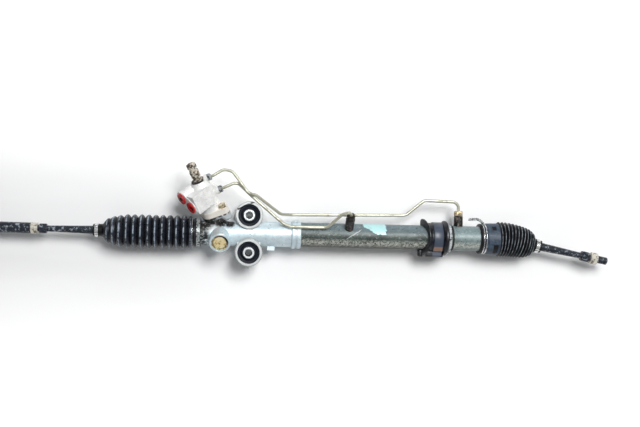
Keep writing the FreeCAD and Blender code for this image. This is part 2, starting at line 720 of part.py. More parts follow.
def make_cylinder_tube():
    # The carriers of the inner seal and of the end bush are part of the tube
    bore_r = TUBE_R - TUBE_WALL
    tube = placed(merged([
        ring_z(TUBE_R, bore_r, TUBE_START, TUBE_END),
        ring_z(bore_r + 1, RACK_R + SEAL_WALL, SEAL_START, SEAL_START + SEAL_LENGTH),
        ring_z(bore_r + 1, RACK_R + END_BUSH_WALL, END_BUSH_START, TUBE_END - RACK_END_GAP),
    ]), RACK_LINE)
    for name, line, height in TUBE_PORTS:
        tube = tube.cut(placed(rod_z(FLUID_HOLE_R, TUBE_R - TUBE_WALL - 2, TUBE_R + 2), line))
        boss = turned([
            (FLUID_HOLE_R, 0), (PORT_BOSS_R, 0), (PORT_BOSS_R, height - 1),
            (PORT_BOSS_R - 1, height), (FLUID_HOLE_R, height),
        ])
        outer = placed(rod_z(TUBE_R, SHORT_PORT_X - 50, LONG_PORT_X + 50), RACK_LINE)
        keep(name + "_pipe_port", placed(boss, line).cut(outer))
    keep("cylinder_tube", tube)


def pipe_frames():
    # Where each pipe ends: the local Z of a frame points out of the union
    return {
        "long_valve": PINION.multiply(port_line(0, LONG_UNION_AT)).multiply(
            Placement(Vector(0, 0, LONG_UNION_REACH), Rotation())),
        "short_valve": PINION.multiply(port_line(0, SHORT_UNION_AT)).multiply(
            Placement(Vector(0, 0, SHORT_UNION_REACH), Rotation())),
        "short_tube": TUBE_PORTS[0][1].multiply(
            Placement(Vector(0, 0, SHORT_PORT_HEIGHT), Rotation())),
        "long_tube": TUBE_PORTS[1][1].multiply(
            Placement(Vector(0, 0, LONG_PORT_HEIGHT), Rotation())),
    }


def make_pipe_nuts():
    frames = pipe_frames()
    nuts = []
    for name, across, length in (
        ("long_valve", UNION_NUT, UNION_NUT_LENGTH), ("short_valve", UNION_NUT, UNION_NUT_LENGTH),
        ("short_tube", PORT_NUT, PORT_NUT_LENGTH), ("long_tube", PORT_NUT, PORT_NUT_LENGTH),
    ):
        nut = rounded_hexagon(across, 0, length).cut(rod_z(PIPE_R, -1, length + 1))
        nuts.append(placed(nut, frames[name]))
    keep("pipe_nuts", Part.makeCompound(nuts))


def rounded_path(points, bend):
    # Straight runs joined by tangent arcs
    edges = []
    last = points[0]
    for before, corner, after in zip(points, points[1:], points[2:]):
        run_in = corner.sub(before)
        run_out = after.sub(corner)
        turn = run_in.getAngle(run_out)
        reach = min(
            bend * math.tan(turn / 2), 0.45 * run_in.Length, 0.45 * run_out.Length)
        start = corner.sub(run_in.normalize().multiply(reach))
        end = corner.add(run_out.normalize().multiply(reach))
        chord = start.add(end).multiply(0.5)
        radius = reach / math.tan(turn / 2)
        to_centre = chord.sub(corner).normalize()
        middle = corner.add(to_centre.multiply(radius / math.cos(turn / 2) - radius))
        edges.append(Part.LineSegment(last, start).toShape())
        edges.append(Part.Arc(start, middle, end).toShape())
        last = end
    edges.append(Part.LineSegment(last, points[-1]).toShape())
    return Part.Wire(edges)


def make_pipes():
    frames = pipe_frames()
    for name, route, lead in (
        ("long", LONG_PIPE_ROUTE, LONG_PIPE_LEAD), ("short", SHORT_PIPE_ROUTE, SHORT_PIPE_LEAD),
    ):
        first, last = frames[name + "_valve"], frames[name + "_tube"]
        out_first = first.Rotation.multVec(Vector(0, 0, 1))
        points = [first.Base, first.Base.add(out_first.multiply(UNION_NUT_LENGTH + 5))]
        points += [Vector(*p) for p in route]
        out_last = last.Rotation.multVec(Vector(0, 0, 1))
        points += [last.Base.add(out_last.multiply(lead)), last.Base]
        path = rounded_path(points, PIPE_BEND)
        start = path.OrderedEdges[0].tangentAt(path.OrderedEdges[0].FirstParameter)
        circle = Part.Wire(Part.makeCircle(PIPE_R, points[0], start))
        pipe = path.makePipeShell([circle], True, False)
        expected = math.pi * PIPE_R ** 2 * path.Length
        print(name, "pipe", round(path.Length), "mm, volume share", round(pipe.Volume / expected, 3))
        keep(name + "_pressure_pipe", pipe)


def make_tube_mount():
    # A split rubber bush round the tube, with two lips and a foot bar between two knobs
    left_lip, right_lip = TUBE_R + RUBBER_LEFT_LIP, TUBE_R + RUBBER_RIGHT_LIP
    middle = TUBE_R + RUBBER_WALL
    body = turned([
        (TUBE_R, RUBBER_LEFT), (left_lip - 6, RUBBER_LEFT), (left_lip, RUBBER_LEFT + 4),
        (left_lip, RUBBER_LEFT + 8), (middle, RUBBER_LEFT + RUBBER_LIP_WIDTH + 8),
        (middle, RUBBER_RIGHT - RUBBER_LIP_WIDTH), (right_lip, RUBBER_RIGHT - RUBBER_LIP_WIDTH + 3),
        (right_lip, RUBBER_RIGHT), (TUBE_R, RUBBER_RIGHT),
    ])
    foot = TUBE_R + FOOT_DROP
    foot_length = RUBBER_RIGHT - RUBBER_LEFT - 2 * RUBBER_LIP_WIDTH
    bar = Part.makeBox(foot_length, foot - 4, FOOT_WIDTH, Vector(
        RUBBER_LEFT + RUBBER_LIP_WIDTH, 4 - foot, RACK_AXIS_Z - FOOT_WIDTH / 2))
    shapes = [placed(body, RACK_LINE), bar]
    for x in (RUBBER_LEFT + LEFT_KNOB_STEP, RUBBER_RIGHT - KNOB_WIDTH - RIGHT_KNOB_STEP):
        shapes.append(Part.makeBox(KNOB_WIDTH, foot - TUBE_R + 4, KNOB_DEPTH, Vector(
            x, -foot, RACK_AXIS_Z - KNOB_DEPTH / 2)))
    shape = merged(shapes).cut(placed(rod_z(TUBE_R, RUBBER_LEFT - 9, RUBBER_RIGHT + 9), RACK_LINE))
    keep("tube_mount_rubber", shape)
    ring_start = RUBBER_RIGHT + 1
    ring = ring_z(TUBE_R + RING_WALL, TUBE_R, ring_start, ring_start + RING_LENGTH)
    keep("tube_mount_ring", placed(ring, RACK_LINE))


def make_rack_bar():
    left = LEFT_BALL_X + SOCKET_BASE + WASHER_THICK
    right = RIGHT_BALL_X - SOCKET_BASE - WASHER_THICK
    bar = placed(rod_z(RACK_R, left, right), RACK_LINE)
    first = PINION_X - TRAVEL_RIGHT - PINION_FACE
    last = PINION_X + TRAVEL_LEFT + PINION_FACE
    count = int((last - first) / RACK_PITCH)
    offset = math.ceil((first - PINION_X) / RACK_PITCH)
    slope = math.tan(math.radians(PRESSURE_ANGLE))
    middle = (RACK_TIP + PINION_OFFSET - PITCH_R - NORMAL_MODULE * PROFILE_SHIFT) / 2
    reference = PINION_OFFSET - PITCH_R - NORMAL_MODULE * PROFILE_SHIFT
    half_space = RACK_PITCH / 4 + BACKLASH / 2
    wide = half_space + (RACK_TIP + 0.5 - reference) * slope
    narrow = half_space + (RACK_ROOT - reference) * slope
    flat = Part.makeBox(
        (count + 1) * RACK_PITCH, 4 * RACK_R, RACK_R,
        Vector((offset - 0.5) * RACK_PITCH, -2 * RACK_R, -RACK_TIP - RACK_R))
    bar = bar.cut(placed(flat, GEAR))
    gaps = []
    for k in range(count):
        x = (offset + k + 0.5) * RACK_PITCH
        profile = Part.makePolygon([
            Vector(x - wide, -RACK_R, -RACK_TIP - 0.5), Vector(x + wide, -RACK_R, -RACK_TIP - 0.5),
            Vector(x + narrow, -RACK_R, -RACK_ROOT), Vector(x - narrow, -RACK_R, -RACK_ROOT),
            Vector(x - wide, -RACK_R, -RACK_TIP - 0.5),
        ])
        gaps.append(placed(Part.Face(profile).extrude(Vector(0, 2 * RACK_R, 0)), GEAR))
    bar = bar.cut(Part.makeCompound(gaps))
    for end, inward in ((left, 1), (right, -1)):
        start, stop = sorted((end - inward, end + inward * SOCKET_STUD_LENGTH))
        bar = bar.cut(placed(rod_z(SOCKET_STUD_R, start, stop), RACK_LINE))
    keep("rack_bar", bar)


def make_piston():
    bore_r = TUBE_R - TUBE_WALL
    half = PISTON_LENGTH / 2
    ring_half = PISTON_RING_WIDTH / 2
    groove = bore_r - 3
    piston = turned([
        (RACK_R, PISTON_X - half), (bore_r - 1, PISTON_X - half),
        (bore_r - 1, PISTON_X - ring_half), (groove, PISTON_X - ring_half),
        (groove, PISTON_X + ring_half), (bore_r - 1, PISTON_X + ring_half),
        (bore_r - 1, PISTON_X + half), (RACK_R, PISTON_X + half),
    ])
    ring = ring_z(bore_r - RUNNING_GAP, groove, PISTON_X - ring_half, PISTON_X + ring_half)
    keep("rack_piston", placed(piston, RACK_LINE))
    keep("piston_ring", placed(ring, RACK_LINE))


def make_cylinder_seals():
    seal = ring_z(
        RACK_R + SEAL_WALL, RACK_R + RUNNING_GAP, SEAL_START, SEAL_START + SEAL_LENGTH)
    keep("inner_rack_seal", placed(seal, RACK_LINE))
    bush = ring_z(
        RACK_R + END_BUSH_WALL, RACK_R + RUNNING_GAP, END_BUSH_START,
        END_BUSH_START + END_BUSH_LENGTH)
    keep("end_rack_bush", placed(bush, RACK_LINE))


def make_socket(side, line):
    # Screwed to the rack's end, it holds the ball in a two part seat
    cavity = BALL_R + SEAT_WALL
    outer = turned([
        (0, -SOCKET_BASE), (SOCKET_R - 2, -SOCKET_BASE), (SOCKET_R, 2 - SOCKET_BASE),
        (SOCKET_R, SOCKET_LIP - 6), (SOCKET_R - 3, SOCKET_LIP), (0, SOCKET_LIP),
    ])
    stud_top = -SOCKET_BASE - WASHER_THICK - SOCKET_STUD_LENGTH + 1
    stud = rod_z(SOCKET_STUD_R, stud_top, -SOCKET_BASE)
    body = merged([outer, stud]).cut(Part.makeSphere(cavity))
    ball_seat = Part.makeSphere(cavity).cut(Part.makeSphere(BALL_R + RUNNING_GAP))
    mouth = rod_z(cavity + 1, SOCKET_LIP - 1.5, cavity + 1)
    keep(side + "_socket", placed(body, line))
    keep(side + "_ball_seat", placed(ball_seat.cut(mouth), line))
    washer = ring_z(WASHER_R, SOCKET_STUD_R, -SOCKET_BASE - WASHER_THICK, -SOCKET_BASE)
    keep(side + "_lock_washer", placed(washer, line))
    keep(side + "_ball", placed(Part.makeSphere(BALL_R), line))


def make_tie_rod(side, line, boot_neck_start):
    # Where the nut sits, rod and nut meet at the pitch radius, the free thread is full size
    ball_neck = BALL_R - 6
    free_thread = JAM_NUT_END + THREAD_RUN_OUT
    profile = [
        (0, ball_neck), (NECK_R, ball_neck), (NECK_R, 20), (ROD_BOOT_R, 32),
        (ROD_BOOT_R, boot_neck_start + BOOT_NECK_LENGTH + 4), (ROD_THIN_R, ROD_THIN_AT),
        (ROD_THIN_R, ROD_HEX_START - 2), (THREAD_PITCH_R, ROD_HEX_START),
        (THREAD_PITCH_R, free_thread), (THREAD_R, free_thread),
        (THREAD_R, THREAD_END - 1.5), (THREAD_R - 1.5, THREAD_END), (0, THREAD_END),
    ]
    rod = turned(profile)
    flats = rounded_hexagon(ROD_HEX, ROD_HEX_START, ROD_HEX_END)
    rod = merged([rod, flats]).cut(Part.makeSphere(BALL_R + LOOSE_GAP))
    keep(side + "_tie_rod", placed(rod, line))
    nut = rounded_hexagon(JAM_NUT, JAM_NUT_START, JAM_NUT_END)
    nut = nut.cut(rod_z(THREAD_PITCH_R, JAM_NUT_START - 1, JAM_NUT_END + 1))
    keep(side + "_jam_nut", placed(nut, line))
    clip_start = boot_neck_start + 1
    clip_r = BOOT_NECK_R + LOOSE_GAP
    clip = ring_z(clip_r + BAND_THICK, clip_r, clip_start, clip_start + CLIP_WIDTH)
    ear = Part.makeBox(5, 4, CLIP_WIDTH, Vector(clip_r + 0.5, -2, clip_start))
    keep(side + "_boot_clip", placed(merged([clip, ear]), line))


def end_joint_frame():
    # The outer ball's centre, local Z along the stud, which stands square to the rod
    upright = LEFT_ROD_LINE.multiply(Placement(Vector(0, 0, END_BALL_AT), Rotation()))
    return Placement(upright.Base, Rotation(Vector(0, 0, 1), 180 - LEFT_SWING))


def make_outer_joint():
    frame = end_joint_frame()
    cavity = END_BALL_R + SEAT_WALL
    cup = turned([
        (0, -cavity - 4), (END_SOCKET_R - 4, -cavity - 4), (END_SOCKET_R, -cavity),
        (END_SOCKET_R, 8), (END_SOCKET_R - 3, 11), (0, 11),
    ])
    shank = turned([
        (0, JAM_NUT_END), (SHANK_R - 1, JAM_NUT_END), (SHANK_R, JAM_NUT_END + 1),
        (SHANK_R, JAM_NUT_END + SHANK_LENGTH), (SHANK_R - 2, END_BALL_AT - 6), (0, END_BALL_AT - 6),
    ])
    body = merged([placed(cup, frame), placed(shank, LEFT_ROD_LINE)])
    body = body.cut(placed(rod_z(THREAD_R, JAM_NUT_END - 1, THREAD_END), LEFT_ROD_LINE))
    body = body.cut(placed(Part.makeSphere(cavity), frame))
    body = body.cut(placed(turned([(0, 0), (9, 0), (17, 12), (0, 12)]), frame))
    keep("left_rod_end", body)
    seat = Part.makeSphere(cavity).cut(Part.makeSphere(END_BALL_R + RUNNING_GAP))
    seat = seat.cut(rod_z(cavity + 1, 6, cavity + 1))
    keep("left_end_seat", placed(seat, frame))
    keep("left_end_ball", placed(Part.makeSphere(END_BALL_R), frame))
    make_stud(frame)


def make_stud(frame):
    stud = turned([
        (0, END_BALL_R - 5), (STUD_TAPER_R, END_BALL_R - 5), (STUD_R - 1, 18), (STUD_R, 22),
        (STUD_TAPER_R, STUD_TAPER_END), (STUD_THREAD_R, STUD_TAPER_END),
        (STUD_THREAD_R, STUD_END - 1), (STUD_THREAD_R - 1, STUD_END), (0, STUD_END),
    ]).cut(Part.makeSphere(END_BALL_R + LOOSE_GAP))
    keep("left_ball_stud", placed(stud, frame))
    crown = rounded_hexagon(CASTLE_NUT, CASTLE_NUT_START, CASTLE_NUT_END)
    crown = crown.cut(rod_z(STUD_THREAD_R, CASTLE_NUT_START - 1, CASTLE_NUT_END + 1))
    for k in range(3):
        slot = Part.makeBox(CASTLE_NUT * 2, 3, 5, Vector(-CASTLE_NUT, -1.5, CASTLE_NUT_END - 4))
        slot.rotate(Vector(0, 0, 0), Vector(0, 0, 1), 60 * k)
        crown = crown.cut(slot)
    keep("left_castle_nut", placed(crown, frame))
    boot = turned([
        (END_BOOT_R - 4, 12), (END_BOOT_R - 1, 12), (END_BOOT_R, 17), (END_BOOT_R - 4, 22),
        (STUD_R + 3, 27), (STUD_R + 0.3, 27), (STUD_R + 0.3, 24.5), (END_BOOT_R - 6, 19),
    ])
    keep("left_end_boot", placed(boot, frame))


def hoop(line, z, radius):
    return placed(Part.Wire(Part.makeCircle(radius, Vector(0, 0, z))), line)


def skin_between(hoops):
    # Straight cones from hoop to hoop, so a boot can lean over towards its tie rod
    return Part.makeLoft(hoops, True, True)


def neck_space(line, start):
    return placed(
        rod_z(ROD_BOOT_R + LOOSE_GAP, start - 8, start + BOOT_NECK_LENGTH + 1), line)


def boot_neck(line, start):
    return placed(rod_z(BOOT_NECK_R, start, start + BOOT_NECK_LENGTH), line)


def pleated(crests, depth):
    # A valley half way between each two crests, given as (distance, radius)
    points = [crests[0]]
    for (here, crest_r), (there, next_r) in zip(crests, crests[1:]):
        points.append(((here + there) / 2, (crest_r + next_r) / 2 - depth))
        points.append((there, next_r))
    return points


def left_boot_body(shrink):
    first = LEFT_BALL_X - LEFT_PLEAT_START
    row = [(first + PLEAT_PITCH * k, LEFT_BOOT_R) for k in range(LEFT_PLEATS)]
    points = pleated(row + LEFT_CONE_CRESTS[:1], PLEAT_DEPTH)
    points += pleated(LEFT_CONE_CRESTS, CONE_PLEAT_DEPTH)[1:] + LEFT_CONE_END
    points.append((LEFT_NECK_START, BOOT_NECK_R))
    return skin_between([
        hoop(LEFT_SOCKET_LINE if z < 0 else LEFT_ROD_LINE, z, radius - shrink)
        for z, radius in points])


def make_left_boot():
    cuff = turned([
        (0, LEFT_BOOT_END), (LEFT_CUFF_R, LEFT_BOOT_END), (LEFT_CUFF_R, LEFT_PLEAT_START + 4),
        (LEFT_BOOT_R, LEFT_PLEAT_START), (0, LEFT_PLEAT_START),
    ])
    mouth = turned([
        (0, LEFT_BOOT_END + 1), (BARREL_R - 0.5, LEFT_BOOT_END + 1),
        (BARREL_R - 0.5, LEFT_PLEAT_START + 4), (LEFT_BOOT_R - BOOT_WALL, LEFT_PLEAT_START),
        (0, LEFT_PLEAT_START),
    ])
    neck = boot_neck(LEFT_ROD_LINE, LEFT_NECK_START)
    hollow = [placed(mouth, RACK_LINE), neck_space(LEFT_ROD_LINE, LEFT_NECK_START)]
    shape = merged([placed(cuff, RACK_LINE), neck, left_boot_body(0)])
    for space in hollow + [left_boot_body(BOOT_WALL)]:
        shape = shape.cut(space)
    keep("left_boot", shape)
    band = ring_z(
        LEFT_CUFF_R + BAND_THICK, LEFT_CUFF_R, LEFT_BOOT_END - 8, LEFT_BOOT_END - 1)
    keep("left_boot_band", placed(band, RACK_LINE))


def right_boot_line(x):
    # A bend from one side of the ball to the other joins the rack's line to the rod's
    if x <= BOOT_BEND_START:
        return ball_frame(x, 0)
    if x <= BOOT_BEND_END:
        turn = (x - BOOT_BEND_START) / BOOT_BEND_R
        point = Vector(
            BOOT_BEND_START + BOOT_BEND_R * math.sin(turn),
            BOOT_BEND_R * (math.cos(turn) - 1), RACK_AXIS_Z)
        return Placement(point, ball_frame(0, -math.degrees(turn)).Rotation)
    outward = x - BOOT_BEND_END + BOOT_BEND_REACH
    return RIGHT_ROD_LINE.multiply(Placement(Vector(0, 0, outward), Rotation()))


def right_boot_body(shrink):
    start = BOOT_BEND_END - BOOT_BEND_REACH
    row = [
        (RIGHT_BELLOWS_START + RIB_PITCH * k, RIGHT_BELLOWS_R - RIB_TAPER * k * k)
        for k in range(RIGHT_RIBS)]
    cone = [(start + z, radius) for z, radius in RIGHT_CONE_CRESTS]
    tip = [(start + z, radius) for z, radius in RIGHT_CONE_END]
    points = pleated(row + cone, RIB_DEPTH) + tip + [(start + RIGHT_NECK_START, BOOT_NECK_R)]
    return skin_between([hoop(right_boot_line(x), 0, radius - shrink) for x, radius in points])


def make_right_boot():
    cuff = turned([
        (0, RIGHT_BOOT_START), (RIGHT_CUFF_R, RIGHT_BOOT_START),
        (RIGHT_CUFF_R, RIGHT_COLLAR_START), (RIGHT_COLLAR_R, RIGHT_COLLAR_START + 2),
        (RIGHT_COLLAR_R, RIGHT_BELLOWS_START - 2), (RIGHT_BELLOWS_R, RIGHT_BELLOWS_START),
        (0, RIGHT_BELLOWS_START),
    ])
    shoulder = RIGHT_COLLAR_START + 2 + BOOT_WALL
    hollow = [
        placed(rod_z(TUBE_R, RIGHT_BOOT_START - 1, shoulder), RACK_LINE),
        placed(rod_z(RIGHT_COLLAR_R - BOOT_WALL, shoulder, RIGHT_BELLOWS_START), RACK_LINE),
        neck_space(RIGHT_ROD_LINE, RIGHT_NECK_START),
    ]
    neck = boot_neck(RIGHT_ROD_LINE, RIGHT_NECK_START)
    shape = merged([placed(cuff, RACK_LINE), neck, right_boot_body(0)])
    for space in hollow + [right_boot_body(BOOT_WALL)]:
        shape = shape.cut(space)
    keep("right_boot", shape)
    wires = []
    for x in (RIGHT_COLLAR_START - 9, RIGHT_COLLAR_START - 4):
        wires.append(placed(Part.makeTorus(
            RIGHT_CUFF_R + WIRE_R, WIRE_R, Vector(0, 0, x), Vector(0, 0, 1)), RACK_LINE))
    keep("right_boot_wires", Part.makeCompound(wires))


def main():
    make_gear_housing()
    make_valve_housing()
    make_valve_bolts()
    make_port_plugs()
    make_pinion_supports()
    make_rack_guide()
    make_mount_bushes()
    make_cylinder_tube()
    make_pipe_nuts()
    make_pipes()
    make_tube_mount()
    make_cylinder_seals()
    make_rack_bar()
    make_piston()
    make_pinion()
    make_valve_core()
    make_input_shaft()
    for side, socket_line, rod_line, neck in (
        ("left", LEFT_SOCKET_LINE, LEFT_ROD_LINE, LEFT_NECK_START),
        ("right", RIGHT_SOCKET_LINE, RIGHT_ROD_LINE, RIGHT_NECK_START),
    ):
        make_socket(side, socket_line)
        make_tie_rod(side, rod_line, neck)
    make_outer_joint()
    make_left_boot()
    make_right_boot()
    os.makedirs("parts", exist_ok=True)
    for name, shape in parts.items():
        shape.exportStep("parts/" + name + ".step")
        print(name, shape.ShapeType, len(shape.Solids), round(shape.Volume), shape.isValid())


main()
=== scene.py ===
# %% [markdown]
# # A used power steering rack, seen from straight above
# The rack turns the steering shaft's motion into a push along one line, and two tie rods carry it to the
# wheels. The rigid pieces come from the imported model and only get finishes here. The rubber pieces,
# wires and thread are modelled in this file, because they bend, or are too fine for the solids.

# %% Load the frame
import bpy
import json
import math
import numpy as np
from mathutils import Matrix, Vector


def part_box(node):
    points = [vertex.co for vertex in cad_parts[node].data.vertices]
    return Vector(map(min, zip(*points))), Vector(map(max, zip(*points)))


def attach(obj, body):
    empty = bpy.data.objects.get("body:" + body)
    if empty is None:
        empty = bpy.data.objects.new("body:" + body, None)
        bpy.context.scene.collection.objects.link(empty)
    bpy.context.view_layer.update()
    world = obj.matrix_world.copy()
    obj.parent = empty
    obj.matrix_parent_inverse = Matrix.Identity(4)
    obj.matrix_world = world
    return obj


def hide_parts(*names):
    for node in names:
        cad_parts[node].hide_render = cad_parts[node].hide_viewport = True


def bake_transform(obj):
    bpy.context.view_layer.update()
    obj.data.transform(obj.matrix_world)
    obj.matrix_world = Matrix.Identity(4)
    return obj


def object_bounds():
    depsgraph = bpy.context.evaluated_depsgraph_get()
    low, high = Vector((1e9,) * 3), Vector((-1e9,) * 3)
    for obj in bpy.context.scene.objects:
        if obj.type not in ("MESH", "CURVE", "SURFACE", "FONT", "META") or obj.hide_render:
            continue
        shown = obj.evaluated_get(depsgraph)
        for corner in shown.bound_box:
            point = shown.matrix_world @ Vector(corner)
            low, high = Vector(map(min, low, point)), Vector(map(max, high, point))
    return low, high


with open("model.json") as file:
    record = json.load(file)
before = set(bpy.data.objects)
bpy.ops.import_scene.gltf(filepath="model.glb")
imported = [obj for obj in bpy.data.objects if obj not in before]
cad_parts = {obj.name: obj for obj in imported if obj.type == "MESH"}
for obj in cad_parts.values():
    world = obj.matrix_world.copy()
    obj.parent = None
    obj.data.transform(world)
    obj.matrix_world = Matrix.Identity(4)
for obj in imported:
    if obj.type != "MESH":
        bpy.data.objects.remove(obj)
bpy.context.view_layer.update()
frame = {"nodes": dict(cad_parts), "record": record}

# %% [markdown]
# ## Where things are
# The rack bar runs along X at one height. Each tie rod starts in a ball on that line, and the right one
# hangs swung to the side. Places could be typed in as numbers, but the model knows the box of each of
# its pieces and the axis of each joint, so most values are read from there and stay true with it.

# %% Main places, in metres
def low(node):
    """The lowest corner of a piece's box."""
    return Vector(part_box(node)[0])


def high(node):
    """The highest corner of a piece's box."""
    return Vector(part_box(node)[1])


AXIS_Z = (low("cylinder_tube").z + high("cylinder_tube").z) / 2
TUBE_R = (high("cylinder_tube").z - low("cylinder_tube").z) / 2
JOINTS = {joint["name"]: joint for joint in frame["record"]["behaviour"]["joints"]}
LEFT_BALL = Vector(JOINTS["left_rod_lift"]["pos_m"])
RIGHT_BALL = Vector(JOINTS["right_rod_lift"]["pos_m"])
UP = Vector((0, 0, 1))
ALONG = Vector((1, 0, 0))
LEFT_ROD_WAY = UP.cross(Vector(JOINTS["left_rod_lift"]["axis"])).normalized()
RIGHT_ROD_WAY = UP.cross(Vector(JOINTS["right_rod_lift"]["axis"])).normalized()
PINION_AXIS = Vector(JOINTS["pinion_spin"]["axis"]).normalized()
PINION_POINT = Vector(JOINTS["pinion_spin"]["pos_m"])
EYE_Y = (low("upper_mount_sleeve").y + high("upper_mount_sleeve").y) / 2
print("rack line at z", round(AXIS_Z, 4), "rods point", LEFT_ROD_WAY, RIGHT_ROD_WAY)

# %% [markdown]
# ## Camera
# The photo was taken from straight above. The two eyes show almost no side wall, while tall pieces far
# to the right lean away to the right, so the lens stood near the eyes and the picture was cropped on
# one side. A turned camera could copy that only with a tilt that isn't there, so the lens shift does
# it. The rack lies a little more than one degree off the picture's edge.

# %% Camera
PHOTO_WIDTH = 640
METRES_PER_PIXEL = 0.002
CAMERA_HEIGHT = 1.728
LENS_POINT = Vector((-0.0217, 0.0398, AXIS_Z))
LENS_PIXEL = 238.4
PHOTO_ROLL = math.radians(1.3)
VIEW_DEPTH = 20.0

camera_data = bpy.data.cameras.new("camera")
camera_data.sensor_width = 36.0
camera_data.lens = camera_data.sensor_width * CAMERA_HEIGHT / (PHOTO_WIDTH * METRES_PER_PIXEL)
camera_data.shift_x = (PHOTO_WIDTH / 2 - LENS_PIXEL) / PHOTO_WIDTH
camera_data.clip_end = VIEW_DEPTH
camera = bpy.data.objects.new("camera", camera_data)
camera.location = LENS_POINT + UP * CAMERA_HEIGHT
camera.rotation_euler = (0, 0, PHOTO_ROLL)
bpy.context.scene.collection.objects.link(camera)
bpy.context.scene.camera = camera
bpy.context.scene.view_settings.view_transform = "Standard"
print("lens", round(camera_data.lens, 1))

# %% [markdown]
# ## Node helpers
# Every finish is made of noise, ramps and bumps over object coordinates, which are metres in the
# model's frame. Painted pictures would need an unwrapped mesh for each piece, and noise in space needs
# none. One small class adds the nodes, so that each finish below stays a few lines long.

# %% Node helpers
# A mix node keeps number, vector and colour sockets side by side. These are its colour sockets.
FIRST_COLOUR, SECOND_COLOUR, MIXED_COLOUR = 6, 7, 2


class Finish:
    """One material under construction: its tree, its shader and the shared coordinates."""

    def __init__(self, name, metallic=0.0, roughness=0.5, coat=0.0, coat_roughness=0.1, specular=0.5):
        self.material = bpy.data.materials.new(name)
        self.material.use_nodes = True
        self.tree = self.material.node_tree
        self.shader = self.tree.nodes["Principled BSDF"]
        self.shader.inputs["Metallic"].default_value = metallic
        self.shader.inputs["Roughness"].default_value = roughness
        self.shader.inputs["Coat Weight"].default_value = coat
        self.shader.inputs["Coat Roughness"].default_value = coat_roughness
        self.shader.inputs["Specular IOR Level"].default_value = specular
        self.place = self.node("ShaderNodeTexCoord").outputs["Object"]

    def node(self, kind, **settings):
        """Adds one node."""
        made = self.tree.nodes.new(kind)
        for key, value in settings.items():
            setattr(made, key, value)
        return made

    def put(self, value, socket):
        """Links a socket, or writes a plain value into it."""
        if isinstance(value, bpy.types.NodeSocket):
            self.tree.links.new(value, socket)
        elif hasattr(socket.default_value, "__len__") and hasattr(value, "__len__"):
            socket.default_value = list(value) + [1.0] * (len(socket.default_value) - len(value))
        else:
            socket.default_value = value

    def set(self, name, value):
        self.put(value, self.shader.inputs[name])

    def noise(self, size, detail=4.0, rough=0.55):
        """Cloudy noise whose patches are about size metres wide."""
        made = self.node("ShaderNodeTexNoise")
        self.put(self.place, made.inputs["Vector"])
        made.inputs["Scale"].default_value = 1.0 / size
        made.inputs["Detail"].default_value = detail
        made.inputs["Roughness"].default_value = rough
        return made.outputs["Fac"]

    def cells(self, size):
        """The distance to the middle of the nearest cell, for round dots."""
        made = self.node("ShaderNodeTexVoronoi")
        self.put(self.place, made.inputs["Vector"])
        made.inputs["Scale"].default_value = 1.0 / size
        return made.outputs["Distance"]

    def ramp(self, value, *stops):
        """Turns a value into greys or colours, each stop a place and what it has there."""
        made = self.node("ShaderNodeValToRGB")
        self.put(value, made.inputs["Fac"])
        while len(made.color_ramp.elements) < len(stops):
            made.color_ramp.elements.new(0.5)
        for element, (at, colour) in zip(made.color_ramp.elements, stops):
            element.position = at
            element.color = (colour, colour, colour, 1) if not hasattr(colour, "__len__") else (*colour, 1)
        return made.outputs["Color"]

    def mix(self, share, first, second):
        """Lays the second colour over the first where share is one."""
        made = self.node("ShaderNodeMix", data_type="RGBA")
        self.put(share, made.inputs["Factor"])
        self.put(first, made.inputs[FIRST_COLOUR])
        self.put(second, made.inputs[SECOND_COLOUR])
        return made.outputs[MIXED_COLOUR]

    def sum(self, way, first, second, third=None):
        """One step of arithmetic, such as MULTIPLY or MAXIMUM."""
        made = self.node("ShaderNodeMath", operation=way)
        self.put(first, made.inputs[0])
        self.put(second, made.inputs[1])
        if third is not None:
            self.put(third, made.inputs[2])
        return made.outputs[0]

    def near(self, centre, radius, fade):
        """One inside a ball round centre, fading to zero outside it."""
        gap = self.node("ShaderNodeVectorMath", operation="DISTANCE")
        self.put(self.place, gap.inputs[0])
        gap.inputs[1].default_value = centre
        made = self.node("ShaderNodeMapRange", clamp=True)
        self.put(gap.outputs["Value"], made.inputs["Value"])
        made.inputs["From Min"].default_value = radius + fade
        made.inputs["From Max"].default_value = radius
        return made.outputs["Result"]

    def value_along(self, way, start=(0, 0, 0)):
        """The distance from start, measured in one direction."""
        gap = self.node("ShaderNodeVectorMath", operation="SUBTRACT")
        self.put(self.place, gap.inputs[0])
        gap.inputs[1].default_value = start
        made = self.node("ShaderNodeVectorMath", operation="DOT_PRODUCT")
        self.put(gap.outputs[0], made.inputs[0])
        made.inputs[1].default_value = way
        return made.outputs["Value"]

    def off_axis(self, point, way):
        """The distance from a straight axis."""
        gap = self.node("ShaderNodeVectorMath", operation="SUBTRACT")
        self.put(self.place, gap.inputs[0])
        gap.inputs[1].default_value = point
        turn = self.node("ShaderNodeVectorMath", operation="CROSS_PRODUCT")
        self.put(gap.outputs[0], turn.inputs[0])
        turn.inputs[1].default_value = way
        made = self.node("ShaderNodeVectorMath", operation="LENGTH")
        self.put(turn.outputs[0], made.inputs[0])
        return made.outputs["Value"]

    def step(self, value, zero_at, one_at):
        """Zero at one value, one at the other, straight between them."""
        made = self.node("ShaderNodeMapRange", clamp=True)
        self.put(value, made.inputs["Value"])
        made.inputs["From Min"].default_value = zero_at
        made.inputs["From Max"].default_value = one_at
        return made.outputs["Result"]

    def band(self, value, start, end, fade):
        """One where the value lies between start and end."""
        return self.sum("MULTIPLY", self.step(value, start - fade, start), self.step(value, end + fade, end))

    def all_of(self, *masks):
        """The product of masks and shares: full only where all are full."""
        whole = masks[0]
        for mask in masks[1:]:
            whole = self.sum("MULTIPLY", whole, mask)
        return whole

